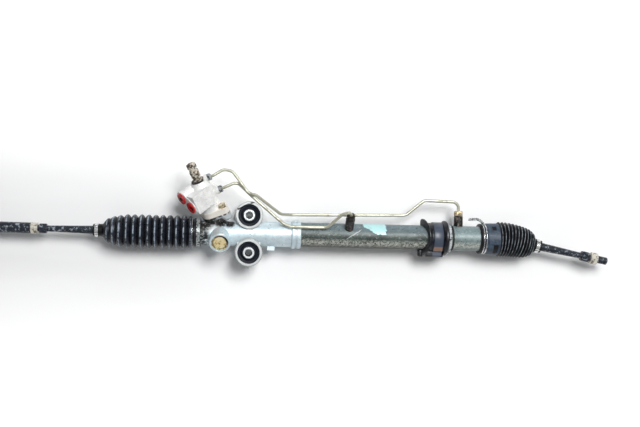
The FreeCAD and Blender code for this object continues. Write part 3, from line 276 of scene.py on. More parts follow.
    def bump(self, height, strength, distance, under=None):
        """A relief in the normals, laid over the one given as under."""
        made = self.node("ShaderNodeBump")
        made.inputs["Strength"].default_value = strength
        made.inputs["Distance"].default_value = distance
        self.put(height, made.inputs["Height"])
        if under is not None:
            self.put(under, made.inputs["Normal"])
        return made.outputs["Normal"]

    def worn_edges(self, radius=0.0006):
        """A normal rounded over the edges, so that sharp corners catch light."""
        made = self.node("ShaderNodeBevel", samples=4)
        made.inputs["Radius"].default_value = radius
        return made.outputs["Normal"]


# %% [markdown]
# ## Cast aluminium
# The housing and the valve's body are castings: bright but not polished, with a fine grain, soft
# mottling and small dark pits. Where the pinion tower joins the barrel and under its flange, black is
# painted that is partly grease and partly painted shade, and the flange between the two castings has
# another tint. Everything is laid over one base colour by masks, some from noise and some from a place.

# %% Cast aluminium
# The flange's plane is a distance along the pinion's axis.
FLANGE_PLANE = 0.037
EYE_FACE_R = 0.028
PITS = (0.10, 0.10, 0.09)
# Black for grease, the flange seam and painted shade.
GREASE_AND_SHADE = (0.012, 0.011, 0.010)
EYE_FACE = (0.50, 0.49, 0.47)


def cast_alloy(name, light, metallic, flange_tint, flange_span, grease_and_shade_spots, eyes=()):
    """grease_and_shade_spots are (centre, radius, how full), eyes the Y of the eyes with darker faces."""
    f = Finish(name, metallic=metallic, roughness=0.42)
    mottle = f.noise(0.018, 6, 0.65)
    grain = f.noise(0.0016, 5, 0.75)
    base = f.ramp(mottle, (0.32, [v * 0.78 for v in light]), (0.60, light))
    speck = f.ramp(f.noise(0.0075, 8, 0.9), (0.395, 1.0), (0.415, 0.0))
    patchy = f.ramp(mottle, (0.42, 0.0), (0.56, 1.0))
    dots = f.all_of(f.ramp(f.cells(0.0048), (0.10, 0.6), (0.24, 0.0)), patchy)
    base = f.mix(f.all_of(f.sum("MAXIMUM", speck, dots), 0.75), base, PITS)
    for eye_y in eyes:
        face = f.step(f.off_axis((0, eye_y, 0), UP), EYE_FACE_R + 0.003, EYE_FACE_R)
        base = f.mix(f.all_of(face, 0.75), base, EYE_FACE)
    height = f.value_along(PINION_AXIS, PINION_POINT)
    base = f.mix(f.sum("MULTIPLY", f.band(height, *flange_span, 0.0006), 0.8), base, flange_tint)
    dashes = f.ramp(f.noise(0.007, 4, 0.7), (0.42, 0.0), (0.48, 1.0))
    seam = f.all_of(f.band(height, FLANGE_PLANE - 0.0012, FLANGE_PLANE + 0.0012, 0.0007), dashes)
    smear = f.ramp(f.noise(0.008, 8, 0.75), (0.40, 0.0), (0.50, 1.0))
    dark = seam
    # Each spot darkens the casting: grease, and at the tower's join painted shade.
    for centre, radius, share in grease_and_shade_spots:
        spot = f.all_of(f.near(centre, radius, radius * 0.8), f.sum("ADD", smear, share))
        dark = f.sum("MAXIMUM", dark, spot)
    dark = f.sum("MINIMUM", dark, 1.0)
    f.set("Base Color", f.mix(dark, base, GREASE_AND_SHADE))
    f.set("Metallic", f.sum("MULTIPLY_ADD", dark, -metallic, metallic))
    f.set("Roughness", f.ramp(f.noise(0.006, 5), (0.3, 0.32), (0.7, 0.55)))
    rough_skin = f.bump(grain, 0.35, 0.0006, f.worn_edges(0.0010))
    f.set("Normal", f.bump(mottle, 0.25, 0.0015, rough_skin))
    return f.material


# Dark spots round the tower: partly grease, partly painted shade where the tower meets the barrel and under
# its flange.
TOWER_GREASE_AND_SHADE = [
    ((-0.091, 0.020, 0.046), 0.013, 0.45), ((-0.076, 0.028, 0.036), 0.012, 0.6),
    ((-0.056, 0.022, 0.040), 0.010, 0.5), ((-0.038, 0.020, 0.045), 0.007, 0.4),
    ((-0.093, -0.006, 0.050), 0.011, 0.0), ((-0.088, -0.020, 0.042), 0.008, 0.0),
]
SHAFT_END_GREASE = [
    (PINION_POINT + PINION_AXIS * 0.116, 0.009, 0.4), ((-0.098, 0.046, 0.060), 0.006, 0.3),
]
HOUSING_ALLOY = cast_alloy(
    "greasy_shaded_cast_alloy", light=(0.76, 0.90, 0.96), metallic=0.36, flange_tint=(0.60, 0.62, 0.62),
    flange_span=(0.020, FLANGE_PLANE), grease_and_shade_spots=TOWER_GREASE_AND_SHADE, eyes=(EYE_Y, -EYE_Y))
VALVE_ALLOY = cast_alloy(
    "pale_cast_alloy", light=(0.97, 0.97, 0.95), metallic=0.12, flange_tint=(0.90, 0.84, 0.74),
    flange_span=(FLANGE_PLANE, 0.050), grease_and_shade_spots=SHAFT_END_GREASE)
print("grease spots:", len(TOWER_GREASE_AND_SHADE), "on the housing,", len(SHAFT_END_GREASE), "on the valve")

# %% [markdown]
# ## Old paint on the cylinder tube
# The tube has dark green grey paint that is worn and dusty, with pale specks, dark dots and a row of
# chips along its front, where the pale band is also a painted highlight. Its back is paler and bluish
# with painted sheen, its right end is paler, and its front edge is darker with painted shade. A torn label
# has left a bare, bright patch, and a scratch crosses the paint near it. Steps along x and y place these
# marks, and noise added to x and y tears the edges of the label, which a plain step would leave clean.

# %% Tube paint
LABEL_FROM, LABEL_TO = 0.235, 0.278
LABEL_FRONT_EDGE = 0.0085
LABEL_CORNER = 0.1395
SCRATCH_FROM, SCRATCH_TO = 0.194, 0.221
SCRATCH_LINE = -0.1297


def tube_paint():
    f = Finish("worn_tube_paint", metallic=0.20, roughness=0.45, coat=0.10, coat_roughness=0.30)
    x, y = f.value_along(ALONG), f.value_along((0, 1, 0))
    upper = f.step(f.value_along(UP), AXIS_Z, AXIS_Z + 0.002)
    base = f.ramp(f.noise(0.045, 4), (0.35, (0.034, 0.048, 0.044)), (0.65, (0.078, 0.100, 0.090)))
    # Painted sheen: the back, toward +y, turns paler and bluish.
    base = f.mix(f.all_of(f.step(y, 0.002, 0.017), 0.65), base, (0.23, 0.31, 0.35))
    # Painted shade: the front edge, toward -y, turns darker.
    base = f.mix(f.all_of(f.step(y, -0.0155, -0.0195), 0.85), base, (0.030, 0.032, 0.026))
    base = f.mix(f.all_of(f.step(x, 0.385, 0.420), 0.55), base, (0.30, 0.39, 0.40))
    specks = f.ramp(f.noise(0.0050, 7, 0.9), (0.56, 0.0), (0.59, 1.0))
    base = f.mix(f.all_of(specks, 0.55), base, (0.50, 0.56, 0.52))
    dots = f.ramp(f.cells(0.0075), (0.12, 1.0), (0.19, 0.0))
    dark = f.sum("MAXIMUM", f.ramp(f.noise(0.0056, 8, 0.9), (0.405, 1.0), (0.43, 0.0)), dots)
    base = f.mix(f.all_of(dark, 0.9), base, (0.010, 0.014, 0.013))
    # Pale chips along the front, in a band that is also a painted highlight.
    chips = f.ramp(f.noise(0.0048, 8, 0.9), (0.47, 0.0), (0.52, 1.0))
    base = f.mix(f.all_of(chips, f.band(y, -0.0165, -0.0115, 0.006), 0.85), base, (0.66, 0.67, 0.60))
    torn_x = f.sum("MULTIPLY_ADD", f.noise(0.008, 5, 0.7), 0.014, x)
    torn_y = f.sum("MULTIPLY_ADD", f.noise(0.007, 5, 0.7), 0.008, y)
    corner = f.step(f.sum("MULTIPLY_ADD", torn_x, 0.5, torn_y), LABEL_CORNER, LABEL_CORNER + 0.0006)
    front = f.step(torn_y, LABEL_FRONT_EDGE, LABEL_FRONT_EDGE + 0.0005)
    patch = f.all_of(f.band(torn_x, LABEL_FROM, LABEL_TO, 0.0005), front, corner, upper)
    worn = f.ramp(f.noise(0.005, 6, 0.8), (0.33, 0.2), (0.42, 1.0))
    base = f.mix(f.all_of(patch, worn, 0.95), base, (0.58, 0.93, 0.94))
    line = f.band(f.sum("MULTIPLY_ADD", x, -0.66, torn_y), SCRATCH_LINE, SCRATCH_LINE + 0.0006, 0.0003)
    scratch = f.all_of(line, f.band(x, SCRATCH_FROM, SCRATCH_TO, 0.002), upper)
    base = f.mix(f.all_of(scratch, worn, 0.8), base, (0.72, 0.76, 0.74))
    f.set("Base Color", base)
    f.set("Roughness", f.ramp(f.noise(0.01, 6, 0.7), (0.3, 0.36), (0.7, 0.60)))
    f.set("Normal", f.bump(f.noise(0.0026, 5, 0.75), 0.22, 0.0007, f.worn_edges(0.0004)))
    return f.material


TUBE_PAINT = tube_paint()

# %% [markdown]
# ## Steels
# Bands, clips, nuts, pipes and tie rods are all steel, but plated, blackened or rusted to different
# degrees. A material could be built for each, yet one recipe serves them all: a base colour, a second
# colour for dirt or rust, on the black tie rods pale scratches and painted highlight specks, and a fine
# bump. Only the colours, the gloss and the share of the second colour differ.

# %% Steel finishes
def steel(name, light, dirt_and_highlight, cover, strength=0.7, metallic=0.85, roughness=0.35, grain=0.005,
          edge=0.0004, dark_from=None):
    """cover is the share of the surface that the second colour takes, strength how much it hides there.

    grain is the width of the stains. To the right of dark_from, where given, all takes the second colour.
    """
    f = Finish(name, metallic=metallic, roughness=roughness)
    base = f.ramp(f.noise(grain * 4, 5, 0.6), (0.3, [v * 0.78 for v in light]), (0.7, light))
    level = 0.36 + 0.27 * cover
    stain = f.ramp(f.noise(grain, 7, 0.75), (level - 0.02, 1.0), (level + 0.03, 0.0))
    stain = f.sum("MULTIPLY", stain, strength)
    if dark_from is not None:
        stain = f.sum("MAXIMUM", stain, f.step(f.value_along(ALONG), dark_from, dark_from + 0.0005))
    f.set("Base Color", f.mix(stain, base, dirt_and_highlight))
    f.set("Metallic", f.sum("MULTIPLY_ADD", stain, -0.7 * metallic, metallic))
    f.set("Roughness", f.sum("MULTIPLY_ADD", stain, 0.35, roughness))
    f.set("Normal", f.bump(f.noise(grain * 0.5, 5, 0.7), 0.25, 0.0004, f.worn_edges(edge)))
    return f.material


BARE_STEEL = steel("bare_steel", (0.70, 0.72, 0.73), (0.16, 0.13, 0.11), cover=0.3, strength=0.6)
BRIGHT_STEEL = steel(
    "bright_clamp_steel", (0.90, 0.91, 0.92), (0.20, 0.18, 0.16), cover=0.25, strength=0.8, roughness=0.24)
BAND_STEEL = steel(
    "dull_band_steel", (0.55, 0.59, 0.59), (0.025, 0.025, 0.029), cover=0.38, strength=0.95, metallic=0.6,
    roughness=0.36)
RUSTY_STEEL = steel(
    "rusty_shaft_steel", (0.84, 0.78, 0.66), (0.045, 0.026, 0.014), cover=0.47, strength=0.95, metallic=0.3,
    roughness=0.42, grain=0.009)
PIPE_ZINC = steel(
    "olive_pipe_zinc", (0.62, 0.62, 0.50), (0.16, 0.13, 0.08), cover=0.26, strength=0.7, metallic=0.40,
    roughness=0.26, grain=0.007)
PALE_NUT = steel(
    "pale_nut_zinc", (0.88, 0.83, 0.72), (0.10, 0.08, 0.06), cover=0.30, strength=0.9, metallic=0.35,
    roughness=0.36, grain=0.007)
BOLT_ZINC = steel(
    "bolt_zinc", (0.84, 0.72, 0.50), (0.06, 0.04, 0.03), cover=0.38, strength=0.95, metallic=0.6,
    roughness=0.38)
# The pale blue grey second colour here is scratches and painted highlight specks.
BLACK_STEEL = steel(
    "black_forged_steel", (0.019, 0.024, 0.036), (0.42, 0.47, 0.54), cover=0.24, strength=0.8,
    metallic=0.10, roughness=0.32, grain=0.007)
FITTING_STEEL = steel(
    "phosphated_steel", (0.012, 0.013, 0.016), (0.26, 0.20, 0.15), cover=0.28, strength=0.8,
    metallic=0.10, roughness=0.30)
GROUND_STEEL = steel(
    "ground_steel", (0.55, 0.56, 0.57), (0.12, 0.10, 0.09), cover=0.15, strength=0.5, metallic=0.9,
    roughness=0.25)
print("steel finishes:", sum(1 for material in bpy.data.materials if "steel" in material.name))

# %% [markdown]
# ## Steels that change with place
# Three pieces change colour along the rack or towards their rim, so each gets a recipe of its own: the
# pipe nuts, one node whose nuts are grey at the valve, black at the short port and gold at the long one,
# the yellow zinc adjuster with grime and painted shade in the groove round it, and the mount sleeves,
# whose bores are painted dark as shade.

# %% Steels that change with place
SHORT_PORT_FROM, LONG_PORT_FROM = 0.10, 0.38


def pipe_nut_zinc():
    f = Finish("pipe_nut_zinc", metallic=0.6, roughness=0.38)
    x = f.value_along(ALONG)
    stain = f.ramp(f.noise(0.0060, 7, 0.8), (0.49, 1.0), (0.52, 0.0))
    on_tube = f.step(x, SHORT_PORT_FROM, SHORT_PORT_FROM + 0.02)
    base = f.mix(on_tube, (0.62, 0.67, 0.70), (0.020, 0.017, 0.015))
    base = f.mix(f.step(x, LONG_PORT_FROM, LONG_PORT_FROM + 0.02), base, (0.74, 0.60, 0.36))
    f.set("Base Color", f.mix(f.all_of(stain, 0.9), base, (0.05, 0.040, 0.030)))
    f.set("Normal", f.bump(f.noise(0.0012, 4), 0.2, 0.0003, f.worn_edges(0.0005)))
    return f.material


def adjuster_zinc(piece):
    metallic = 0.25
    f = Finish("yellow_zinc", metallic=metallic, roughness=0.36)
    middle = (low(piece) + high(piece)) / 2
    radius = f.off_axis(middle, YOKE_AXIS)
    clouds = f.noise(0.007, 7, 0.8)
    base = f.ramp(
        clouds, (0.40, (0.30, 0.19, 0.06)), (0.44, (0.86, 0.68, 0.30)), (0.58, (0.94, 0.84, 0.58)))
    grime = f.ramp(f.noise(0.006, 6, 0.7), (0.40, 0.0), (0.52, 1.0))
    # Painted shade on the groove's upper right side, with grime round the rest of it.
    shaded_side = f.step(f.value_along((0.6, 0.8, 0), middle), 0.000, 0.008)
    rim = f.step(radius, GROOVE_R, GROOVE_R + 0.0006)
    groove = f.all_of(rim, f.sum("MAXIMUM", f.all_of(grime, 0.8), shaded_side))
    f.set("Base Color", f.mix(groove, base, (0.035, 0.028, 0.018)))
    f.set("Metallic", f.sum("MULTIPLY_ADD", groove, -metallic, metallic))
    f.set("Normal", f.bump(clouds, 0.3, 0.0008, f.worn_edges(0.0006)))
    return f.material


def sleeve_steel(centre_y):
    metallic = 0.7
    f = Finish("mount_sleeve_steel", metallic=metallic, roughness=0.34)
    stain = f.ramp(f.noise(0.003, 6, 0.75), (0.36, 1.0), (0.50, 0.0))
    base = f.mix(f.all_of(stain, 0.6), (0.80, 0.84, 0.86), (0.20, 0.17, 0.14))
    # Painted shade: the bore is dark inside.
    inside = f.step(f.off_axis((0, centre_y, 0), UP), BORE_R + 0.0006, BORE_R)
    f.set("Base Color", f.mix(inside, base, (0.020, 0.017, 0.015)))
    f.set("Metallic", f.sum("MULTIPLY_ADD", inside, -metallic, metallic))
    f.set("Normal", f.bump(f.noise(0.0012, 4), 0.25, 0.0004, f.worn_edges(0.0005)))
    return f.material


YOKE_AXIS = PINION_AXIS.cross(ALONG).normalized()
GROOVE_R = 0.0122
BORE_R = 0.0072
NUT_ZINC = pipe_nut_zinc()
GOLD_ZINC = adjuster_zinc("guide_adjuster")
SLEEVE_STEELS = {"upper_mount_sleeve": sleeve_steel(EYE_Y), "lower_mount_sleeve": sleeve_steel(-EYE_Y)}
print("guide screws in along", YOKE_AXIS)

# %% [markdown]
# ## Rubber
# Boots, bushes and seals are rubber: nearly black and a little blue. Dust dries on it. The pale lines on
# what stands proud are worn rubber and painted highlight, and the folds between are painted shade, so the
# boots that are made below carry a value called "proud", one on the crests and zero in the valleys, and
# the finish reads it.

# %% Rubber finishes
def rubber(name, deep, dusty, dust_share, roughness=0.42, crest=None, window=None):
    """crest is (proud from, share, colour of worn crests and painted highlight, least worn, fold: proud
    below which painted shade goes); window names the points that get painted window shade and the dark rim.
    """
    f = Finish(name, roughness=roughness, specular=0.36)
    dust = f.ramp(f.noise(0.006, 7, 0.75), (0.42, 0.0), (0.62, 1.0))
    dust = f.sum("MULTIPLY", dust, dust_share)
    base = f.mix(dust, deep, dusty)
    if crest:
        crest_from, share, crest_wear_and_highlight, least, fold = crest
        proud = f.node("ShaderNodeAttribute", attribute_name="proud").outputs["Fac"]
        broken = f.ramp(f.noise(0.010, 6, 0.75), (0.44, least), (0.54, 1.0))
        # Pale crests: worn rubber and painted highlight.
        rubbed_and_lit = f.all_of(f.step(proud, crest_from, 1.0), broken)
        base = f.mix(f.all_of(rubbed_and_lit, share), base, crest_wear_and_highlight)
        # Painted shade in the folds.
        base = f.mix(f.step(proud, fold, 0.0), base, (0.003, 0.003, 0.004))
    if window:
        marked = f.node("ShaderNodeAttribute", attribute_name=window).outputs["Fac"]
        # Painted shade in the windows; the collar's rim is its own black.
        base = f.mix(marked, base, (0.004, 0.004, 0.006))
    f.set("Base Color", base)
    f.set("Roughness", f.sum("MULTIPLY_ADD", dust, 0.35, roughness))
    f.set("Normal", f.bump(f.noise(0.0015, 5, 0.7), 0.18, 0.0004))
    return f.material


# The crest colours below are worn rubber and painted highlight; the folds are painted shade.
BOOT_RUBBER = rubber(
    "boot_rubber", (0.008, 0.010, 0.015), (0.020, 0.024, 0.034), dust_share=0.8, roughness=0.26,
    crest=(0.95, 0.9, (0.42, 0.50, 0.60), 0.0, 0.25))
RIB_RUBBER = rubber(
    "rib_rubber", (0.003, 0.004, 0.006), (0.012, 0.015, 0.021), dust_share=0.6, roughness=0.40,
    crest=(0.90, 1.0, (0.56, 0.62, 0.68), 0.20, 0.50))
BUSH_RUBBER = rubber(
    "bush_rubber", (0.006, 0.009, 0.016), (0.024, 0.030, 0.045), dust_share=0.7, roughness=0.50)
COLLAR_RUBBER = rubber(
    "collar_rubber", (0.030, 0.044, 0.066), (0.08, 0.12, 0.17), dust_share=0.8, roughness=0.36,
    window="window")
SEAL_RUBBER = rubber(
    "seal_rubber", (0.012, 0.012, 0.014), (0.12, 0.11, 0.10), dust_share=0.6, roughness=0.6)
print("rubber finishes:", sum(1 for material in bpy.data.materials if "rubber" in material.name))

# %% [markdown]
# ## Plastics
# The transport plugs are bright red moulded plastic, a little scuffed, and hollow, so the middle of each
# face is painted dark as shade. The ball seats are pale nylon. Both plugs are one node, so their faces
# are found from its points: the two plugs are told apart by side, and each face is what lies farthest
# from the valve.

# %% Plastic finishes
PLUG_HOLE_R = 0.0036
FACE_DEPTH = 0.003


def plug_faces():
    """The middle of each plug's outer face, from its own points."""
    points = np.array([vertex.co for vertex in frame["nodes"]["hose_port_plugs"].data.vertices])
    axis = np.array(PINION_AXIS)
    spread = points - points.mean(0)
    split = spread @ np.array([1.0, -1.0, 0.0]) > 0
    faces = []
    for mine in (points[split], points[~split]):
        outward = mine.mean(0) - np.array(PINION_POINT)
        outward -= axis * (outward @ axis)
        reach = mine @ (outward / np.linalg.norm(outward))
        faces.append(tuple(mine[reach > reach.max() - FACE_DEPTH].mean(0)))
    return faces


def plastic(name, colour, scuffed, roughness, hollow_shades=()):
    f = Finish(name, roughness=roughness)
    wear = f.ramp(f.noise(0.004, 6, 0.75), (0.52, 0.0), (0.64, 1.0))
    base = f.mix(f.sum("MULTIPLY", wear, 0.4), colour, scuffed)
    # Painted shade: the hollow middle of each plug's face.
    for centre in hollow_shades:
        base = f.mix(f.near(centre, PLUG_HOLE_R, 0.0015), base, (0.020, 0.004, 0.004))
    f.set("Base Color", base)
    f.set("Normal", f.bump(f.noise(0.001, 4), 0.1, 0.0003, f.worn_edges(0.0005)))
    return f.material


RED_PLASTIC = plastic("red_plug_plastic", (0.62, 0.016, 0.016), (0.80, 0.12, 0.10), 0.32, plug_faces())
NYLON = plastic("pale_nylon", (0.74, 0.72, 0.64), (0.5, 0.48, 0.42), 0.5)
print("plug faces at", [[round(float(value), 4) for value in face] for face in plug_faces()])

# %% [markdown]
# ## Which piece wears which finish
# Each node of the model keeps its mesh and gets one of the finishes above. The list is written by
# finish, because one finish serves several pieces, and bare steel goes on what the list leaves out.

# %% Dress the model's pieces
FINISH_OF = {
    HOUSING_ALLOY: ["gear_housing"],
    VALVE_ALLOY: ["valve_housing"],
    TUBE_PAINT: ["cylinder_tube"],
    PIPE_ZINC: ["long_pressure_pipe", "short_pressure_pipe"],
    GOLD_ZINC: ["guide_adjuster"],
    NUT_ZINC: ["pipe_nuts"],
    BOLT_ZINC: ["valve_bolts"],
    PALE_NUT: ["left_jam_nut", "right_jam_nut", "left_castle_nut"],
    RUSTY_STEEL: ["input_shaft"],
    BLACK_STEEL: [
        "left_tie_rod", "right_tie_rod", "left_rod_end", "left_ball_stud", "left_socket", "right_socket"],
    FITTING_STEEL: ["short_pipe_port", "long_pipe_port"],
    BRIGHT_STEEL: ["left_boot_clip", "right_boot_clip", "tube_mount_ring", "right_boot_wires"],
    BAND_STEEL: ["left_boot_band"],
    SEAL_RUBBER: ["input_shaft_seal", "inner_rack_seal"],
    RED_PLASTIC: ["hose_port_plugs"],
    NYLON: ["left_ball_seat", "right_ball_seat", "left_end_seat", "piston_ring", "end_rack_bush"],
    GROUND_STEEL: [
        "rack_bar", "pinion", "valve_sleeve", "torsion_bar", "left_ball", "right_ball", "left_end_ball"],
}
finish_by_name = {name: material for material, names in FINISH_OF.items() for name in names}
finish_by_name.update(SLEEVE_STEELS)
for name, node in frame["nodes"].items():
    node.data.materials.clear()
    node.data.materials.append(finish_by_name.get(name, BARE_STEEL))
print("dressed by name:", len(finish_by_name), "of", len(frame["nodes"]))

# %% [markdown]
# ## A lathe that can follow a bent line
# Boots, bushes and rings are all turned shapes. Blender's Screw modifier turns a profile too, but only
# round a straight axis, and the right boot is bent. This lathe takes a closed loop of (distance,
# radius) points and a line, which is a function that gives the centre and the direction at a distance.

# %% The lathe
TURNS = 96


def straight(origin, way):
    """A line for the lathe that never bends."""
    def line(distance):
        return origin + way * distance, way
    return line


def side_of(way):
    """Two directions square to way, the first level."""
    level = UP.cross(way) if abs(way.z) < 0.9 else Vector((0, 1, 0)).cross(way)
    level.normalize()
    return level, way.cross(level)


def add_piece(name, points, faces, body, material, angle=35.0):
    """Makes one piece; edges sharper than angle stay crisp. Blended pieces give no body here."""
    mesh = bpy.data.meshes.new(name)
    mesh.from_pydata([tuple(p) for p in points], [], faces)
    mesh.materials.append(material)
    piece = bpy.data.objects.new(name, mesh)
    bpy.context.scene.collection.objects.link(piece)
    mesh.shade_smooth()
    mesh.set_sharp_from_angle(angle=math.radians(angle))
    if body:
        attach(piece, body)
    return piece


def lathe(name, loop, line, body, material, turns=TURNS, bulge=None, angle=35.0):
    """Turns the closed loop of (distance, radius) round the line."""
    points = []
    for distance, radius in loop:
        centre, way = line(distance)
        across, over = side_of(way)
        for k in range(turns):
            a = 2 * math.pi * k / turns
            r = radius + (bulge(distance, a, radius) if bulge else 0.0)
            points.append(centre + across * (r * math.cos(a)) + over * (r * math.sin(a)))
    faces = []
    count = len(loop)
    for i in range(count):
        j = (i + 1) % count
        for k in range(turns):
            n = (k + 1) % turns
            faces.append((i * turns + k, i * turns + n, j * turns + n, j * turns + k))
    return add_piece(name, points, faces, body, material, angle)


def mark_proud(piece, loop, crests, depth, turns=TURNS):
    """Stores how far each point stands out from the folds beside it, for the worn and painted-highlight
    crests and the painted shade in the folds.
    """
    values = []
    for distance, radius in loop:
        crest_r = np.interp(distance, [d for d, _ in crests], [r for _, r in crests])
        values += [min(1.0, max(0.0, 1 - (crest_r - radius) / depth))] * turns
    layer = piece.data.attributes.new("proud", "FLOAT", "POINT")
    layer.data.foreach_set("value", values)


# %% [markdown]
# ## Bellows
# A boot is one moulded tube of round pleats with narrow folds between them. It is made in five pieces
# here, because each piece may stretch across one joint only: housing to rack, rack to ball, and ball to
# tie rod, with a stiff cuff and neck at the ends. The cuff is tied to the housing and the neck to the
# tie rod, and the three pieces between stay where they are made. Real pleats share a stretch evenly;
# straight weights for that are worked out for the long piece but not stored.

# %% Bellows helpers
BOOT_WALL = 0.0022
BOOT_SHARP_ANGLE = 50.0
LEAST_FOLD = 0.003
ROUNDNESS = 0.75


def pleats(crests, valley_r, steps=14):
    """(distance, radius) points over a row of pleats given as (crest distance, crest radius)."""
    points = []
    for (here, crest_r), (there, next_r) in zip(crests, crests[1:]):
        for k in range(steps):
            t = k / steps
            mean = crest_r + (next_r - crest_r) * t
            floor_r = min(valley_r, mean - LEAST_FOLD)
            wave = abs(math.cos(math.pi * t)) ** ROUNDNESS
            points.append((here + (there - here) * t, floor_r + (mean - floor_r) * wave))
    points.append(crests[-1])
    return points


def boot_piece(name, outer, line, material, crests, depth, body=None):
    """One stretch of a boot, a wall thick, with its crests marked."""
    inner = [(d, r - BOOT_WALL) for d, r in outer][::-1]
    piece = lathe(name, outer + inner, line, body, material, angle=BOOT_SHARP_ANGLE)
    mark_proud(piece, outer + inner, crests, depth)
    return piece


def split_at(points, cuts):
    """Cuts a row of points into stretches that share their end points."""
    stretches = []
    rest = points
    for cut in cuts:
        index = min(range(len(rest)), key=lambda i: abs(rest[i][0] - cut))
        stretches.append(rest[:index + 1])
        rest = rest[index:]
    stretches.append(rest)
    return stretches


def even_stretch(stretch, turns=TURNS):
    """Works out straight weights, one per point, so that every pleat would take the same share, and keeps
    none of them.
    """
    start, end = stretch[0][0], stretch[-1][0]
    weights = []
    for distance, _ in stretch + stretch[::-1]:
        weights += [(distance - start) / (end - start)] * turns


def dress_boot(side, outer, line, cuts, material, crests, depth, bodies):
    """Builds a boot in five stretches; the cuff is tied to the housing and the neck to the rod's body."""
    housing_part, slide_part, swing_part, lift_part, rod_part = split_at(outer, cuts)
    pieces = [boot_piece(side + "_bellows_cuff", housing_part, line, material, crests, depth, "housing")]
    links = (("housing", "rack"), ("rack", bodies[0]), (bodies[0], bodies[1]))
    for number, (stretch, pair) in enumerate(zip((slide_part, swing_part, lift_part), links)):
        piece = boot_piece(f"{side}_bellows_{number + 1}", stretch, line, material, crests, depth)
        start, end = stretch[0][0], stretch[-1][0]
        line(start)[0]
        line(end)[0]
        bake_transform(piece)
        if number == 0:
            even_stretch(stretch)
        pieces.append(piece)
    pieces.append(boot_piece(side + "_bellows_neck", rod_part, line, material, crests, depth, bodies[1]))
    return pieces


# %% [markdown]
# ## Left boot
# Thirteen pleats, fourteen millimetres apart, run from the steel band on the housing to a cone that
# ends in a small clip on the tie rod. Pleats that are all alike come from one formula between crests,
# while cuff and neck have steps of their own, so their few points are listed.

# %% Left boot
LEFT_CUFF_X = high("left_boot").x
PLEAT_PITCH = 0.01415
FIRST_CREST, FULL_CRESTS, CREST_R = 0.0190, 10, 0.0335
VALLEY_R = 0.0262
LEFT_CUTS = (0.0150, 0.1677, 0.1805, 0.1960)


def left_line(distance):
    """Distance runs to the left from the cuff, past the ball along the tie rod."""
    to_ball = LEFT_CUFF_X - LEFT_BALL.x
    if distance <= to_ball:
        return Vector((LEFT_CUFF_X - distance, 0, AXIS_Z)), -ALONG
    return LEFT_BALL + LEFT_ROD_WAY * (distance - to_ball), LEFT_ROD_WAY


cuff_r = (high("left_boot_band").z - low("left_boot_band").z) / 2 - 0.0015
left_cuff = [
    (0.0, VALLEY_R), (0.0005, cuff_r), (0.0085, cuff_r), (0.0095, 0.0285), (0.0125, 0.0285),
    (0.0135, VALLEY_R), (0.0150, 0.0266),
]
crests = [(FIRST_CREST + PLEAT_PITCH * k, CREST_R) for k in range(FULL_CRESTS)]
crests += [(0.1612, 0.0312), (0.1742, 0.0284), (0.1868, 0.0240)]
left_neck = [
    (0.1920, 0.0180), (0.1940, 0.0140), (0.1960, 0.0126), (0.2030, 0.0124), (0.2035, 0.0131),
    (0.2100, 0.0131), (0.2110, 0.0124), (0.2145, 0.0123),
]
left_boot = dress_boot(
    "left", left_cuff + pleats(crests, VALLEY_R) + left_neck, left_line, LEFT_CUTS, BOOT_RUBBER,
    crests, CREST_R - VALLEY_R, ("left_ball_pin", "left_rod"))
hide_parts("left_boot")
print("left boot pieces", len(left_boot), "crests", len(crests))

# %% [markdown]
# ## Right boot
# This one has a long smooth collar with moulded windows and a dozen fine ribs. It leans over with the
# swung tie rod. A straight boot could be bent afterwards, but its line is known: along the rack, then
# an arc that touches both directions, then along the rod. The arc starts as far before the ball as it
# ends past it, and its radius follows from that reach and the lean.

# %% Right boot's line
RIGHT_START = low("right_boot").x
LEAN = ALONG.angle(RIGHT_ROD_WAY)
ARC_REACH = 0.020
ARC_R = ARC_REACH / math.tan(LEAN / 2)
ARC_START = RIGHT_BALL.x - ARC_REACH - RIGHT_START
ARC_LENGTH = ARC_R * LEAN


def right_line(distance):
    """Distance runs to the right from the collar, round the arc and along the tie rod."""
    if distance <= ARC_START:
        return Vector((RIGHT_START + distance, 0, AXIS_Z)), ALONG
    if distance <= ARC_START + ARC_LENGTH:
        turn = (distance - ARC_START) / ARC_R
        centre = Vector((RIGHT_BALL.x - ARC_REACH, -ARC_R, AXIS_Z))
        return (centre + Vector((math.sin(turn), math.cos(turn), 0)) * ARC_R,
                Vector((math.cos(turn), -math.sin(turn), 0)))
    past = distance - ARC_START - ARC_LENGTH + ARC_REACH
    return RIGHT_BALL + RIGHT_ROD_WAY * past, RIGHT_ROD_WAY


print("right boot leans", round(math.degrees(LEAN), 1), "degrees, arc radius", round(ARC_R, 3))

# %% Right boot
RIB_PITCH, RIB_DEPTH = 0.0062, 0.0048
FIRST_RIB, FULL_RIBS, RIB_R = 0.0482, 9, 0.0345
RIB_SHRINK = 0.00006
RIGHT_CUTS = (0.0451, 0.0885, 0.1009, 0.1195)


def ribs(crests_here, steps=12):
    """(distance, radius) points over a row of ribs with round folds between them."""
    points = []
    for (here, crest_r), (there, next_r) in zip(crests_here, crests_here[1:]):
        for k in range(steps):
            t = k / steps
            mean = crest_r + (next_r - crest_r) * t
            fold = RIB_DEPTH * (0.5 - 0.5 * math.cos(2 * math.pi * t))
            points.append((here + (there - here) * t, mean - fold))
    return points + [crests_here[-1]]


right_cuff = [
    (0.0080, 0.0262), (0.0084, 0.0292), (0.0095, 0.0303), (0.0138, 0.0300), (0.0150, 0.0280),
    (0.0190, 0.0280), (0.0205, 0.0298), (0.0225, 0.0312),
]
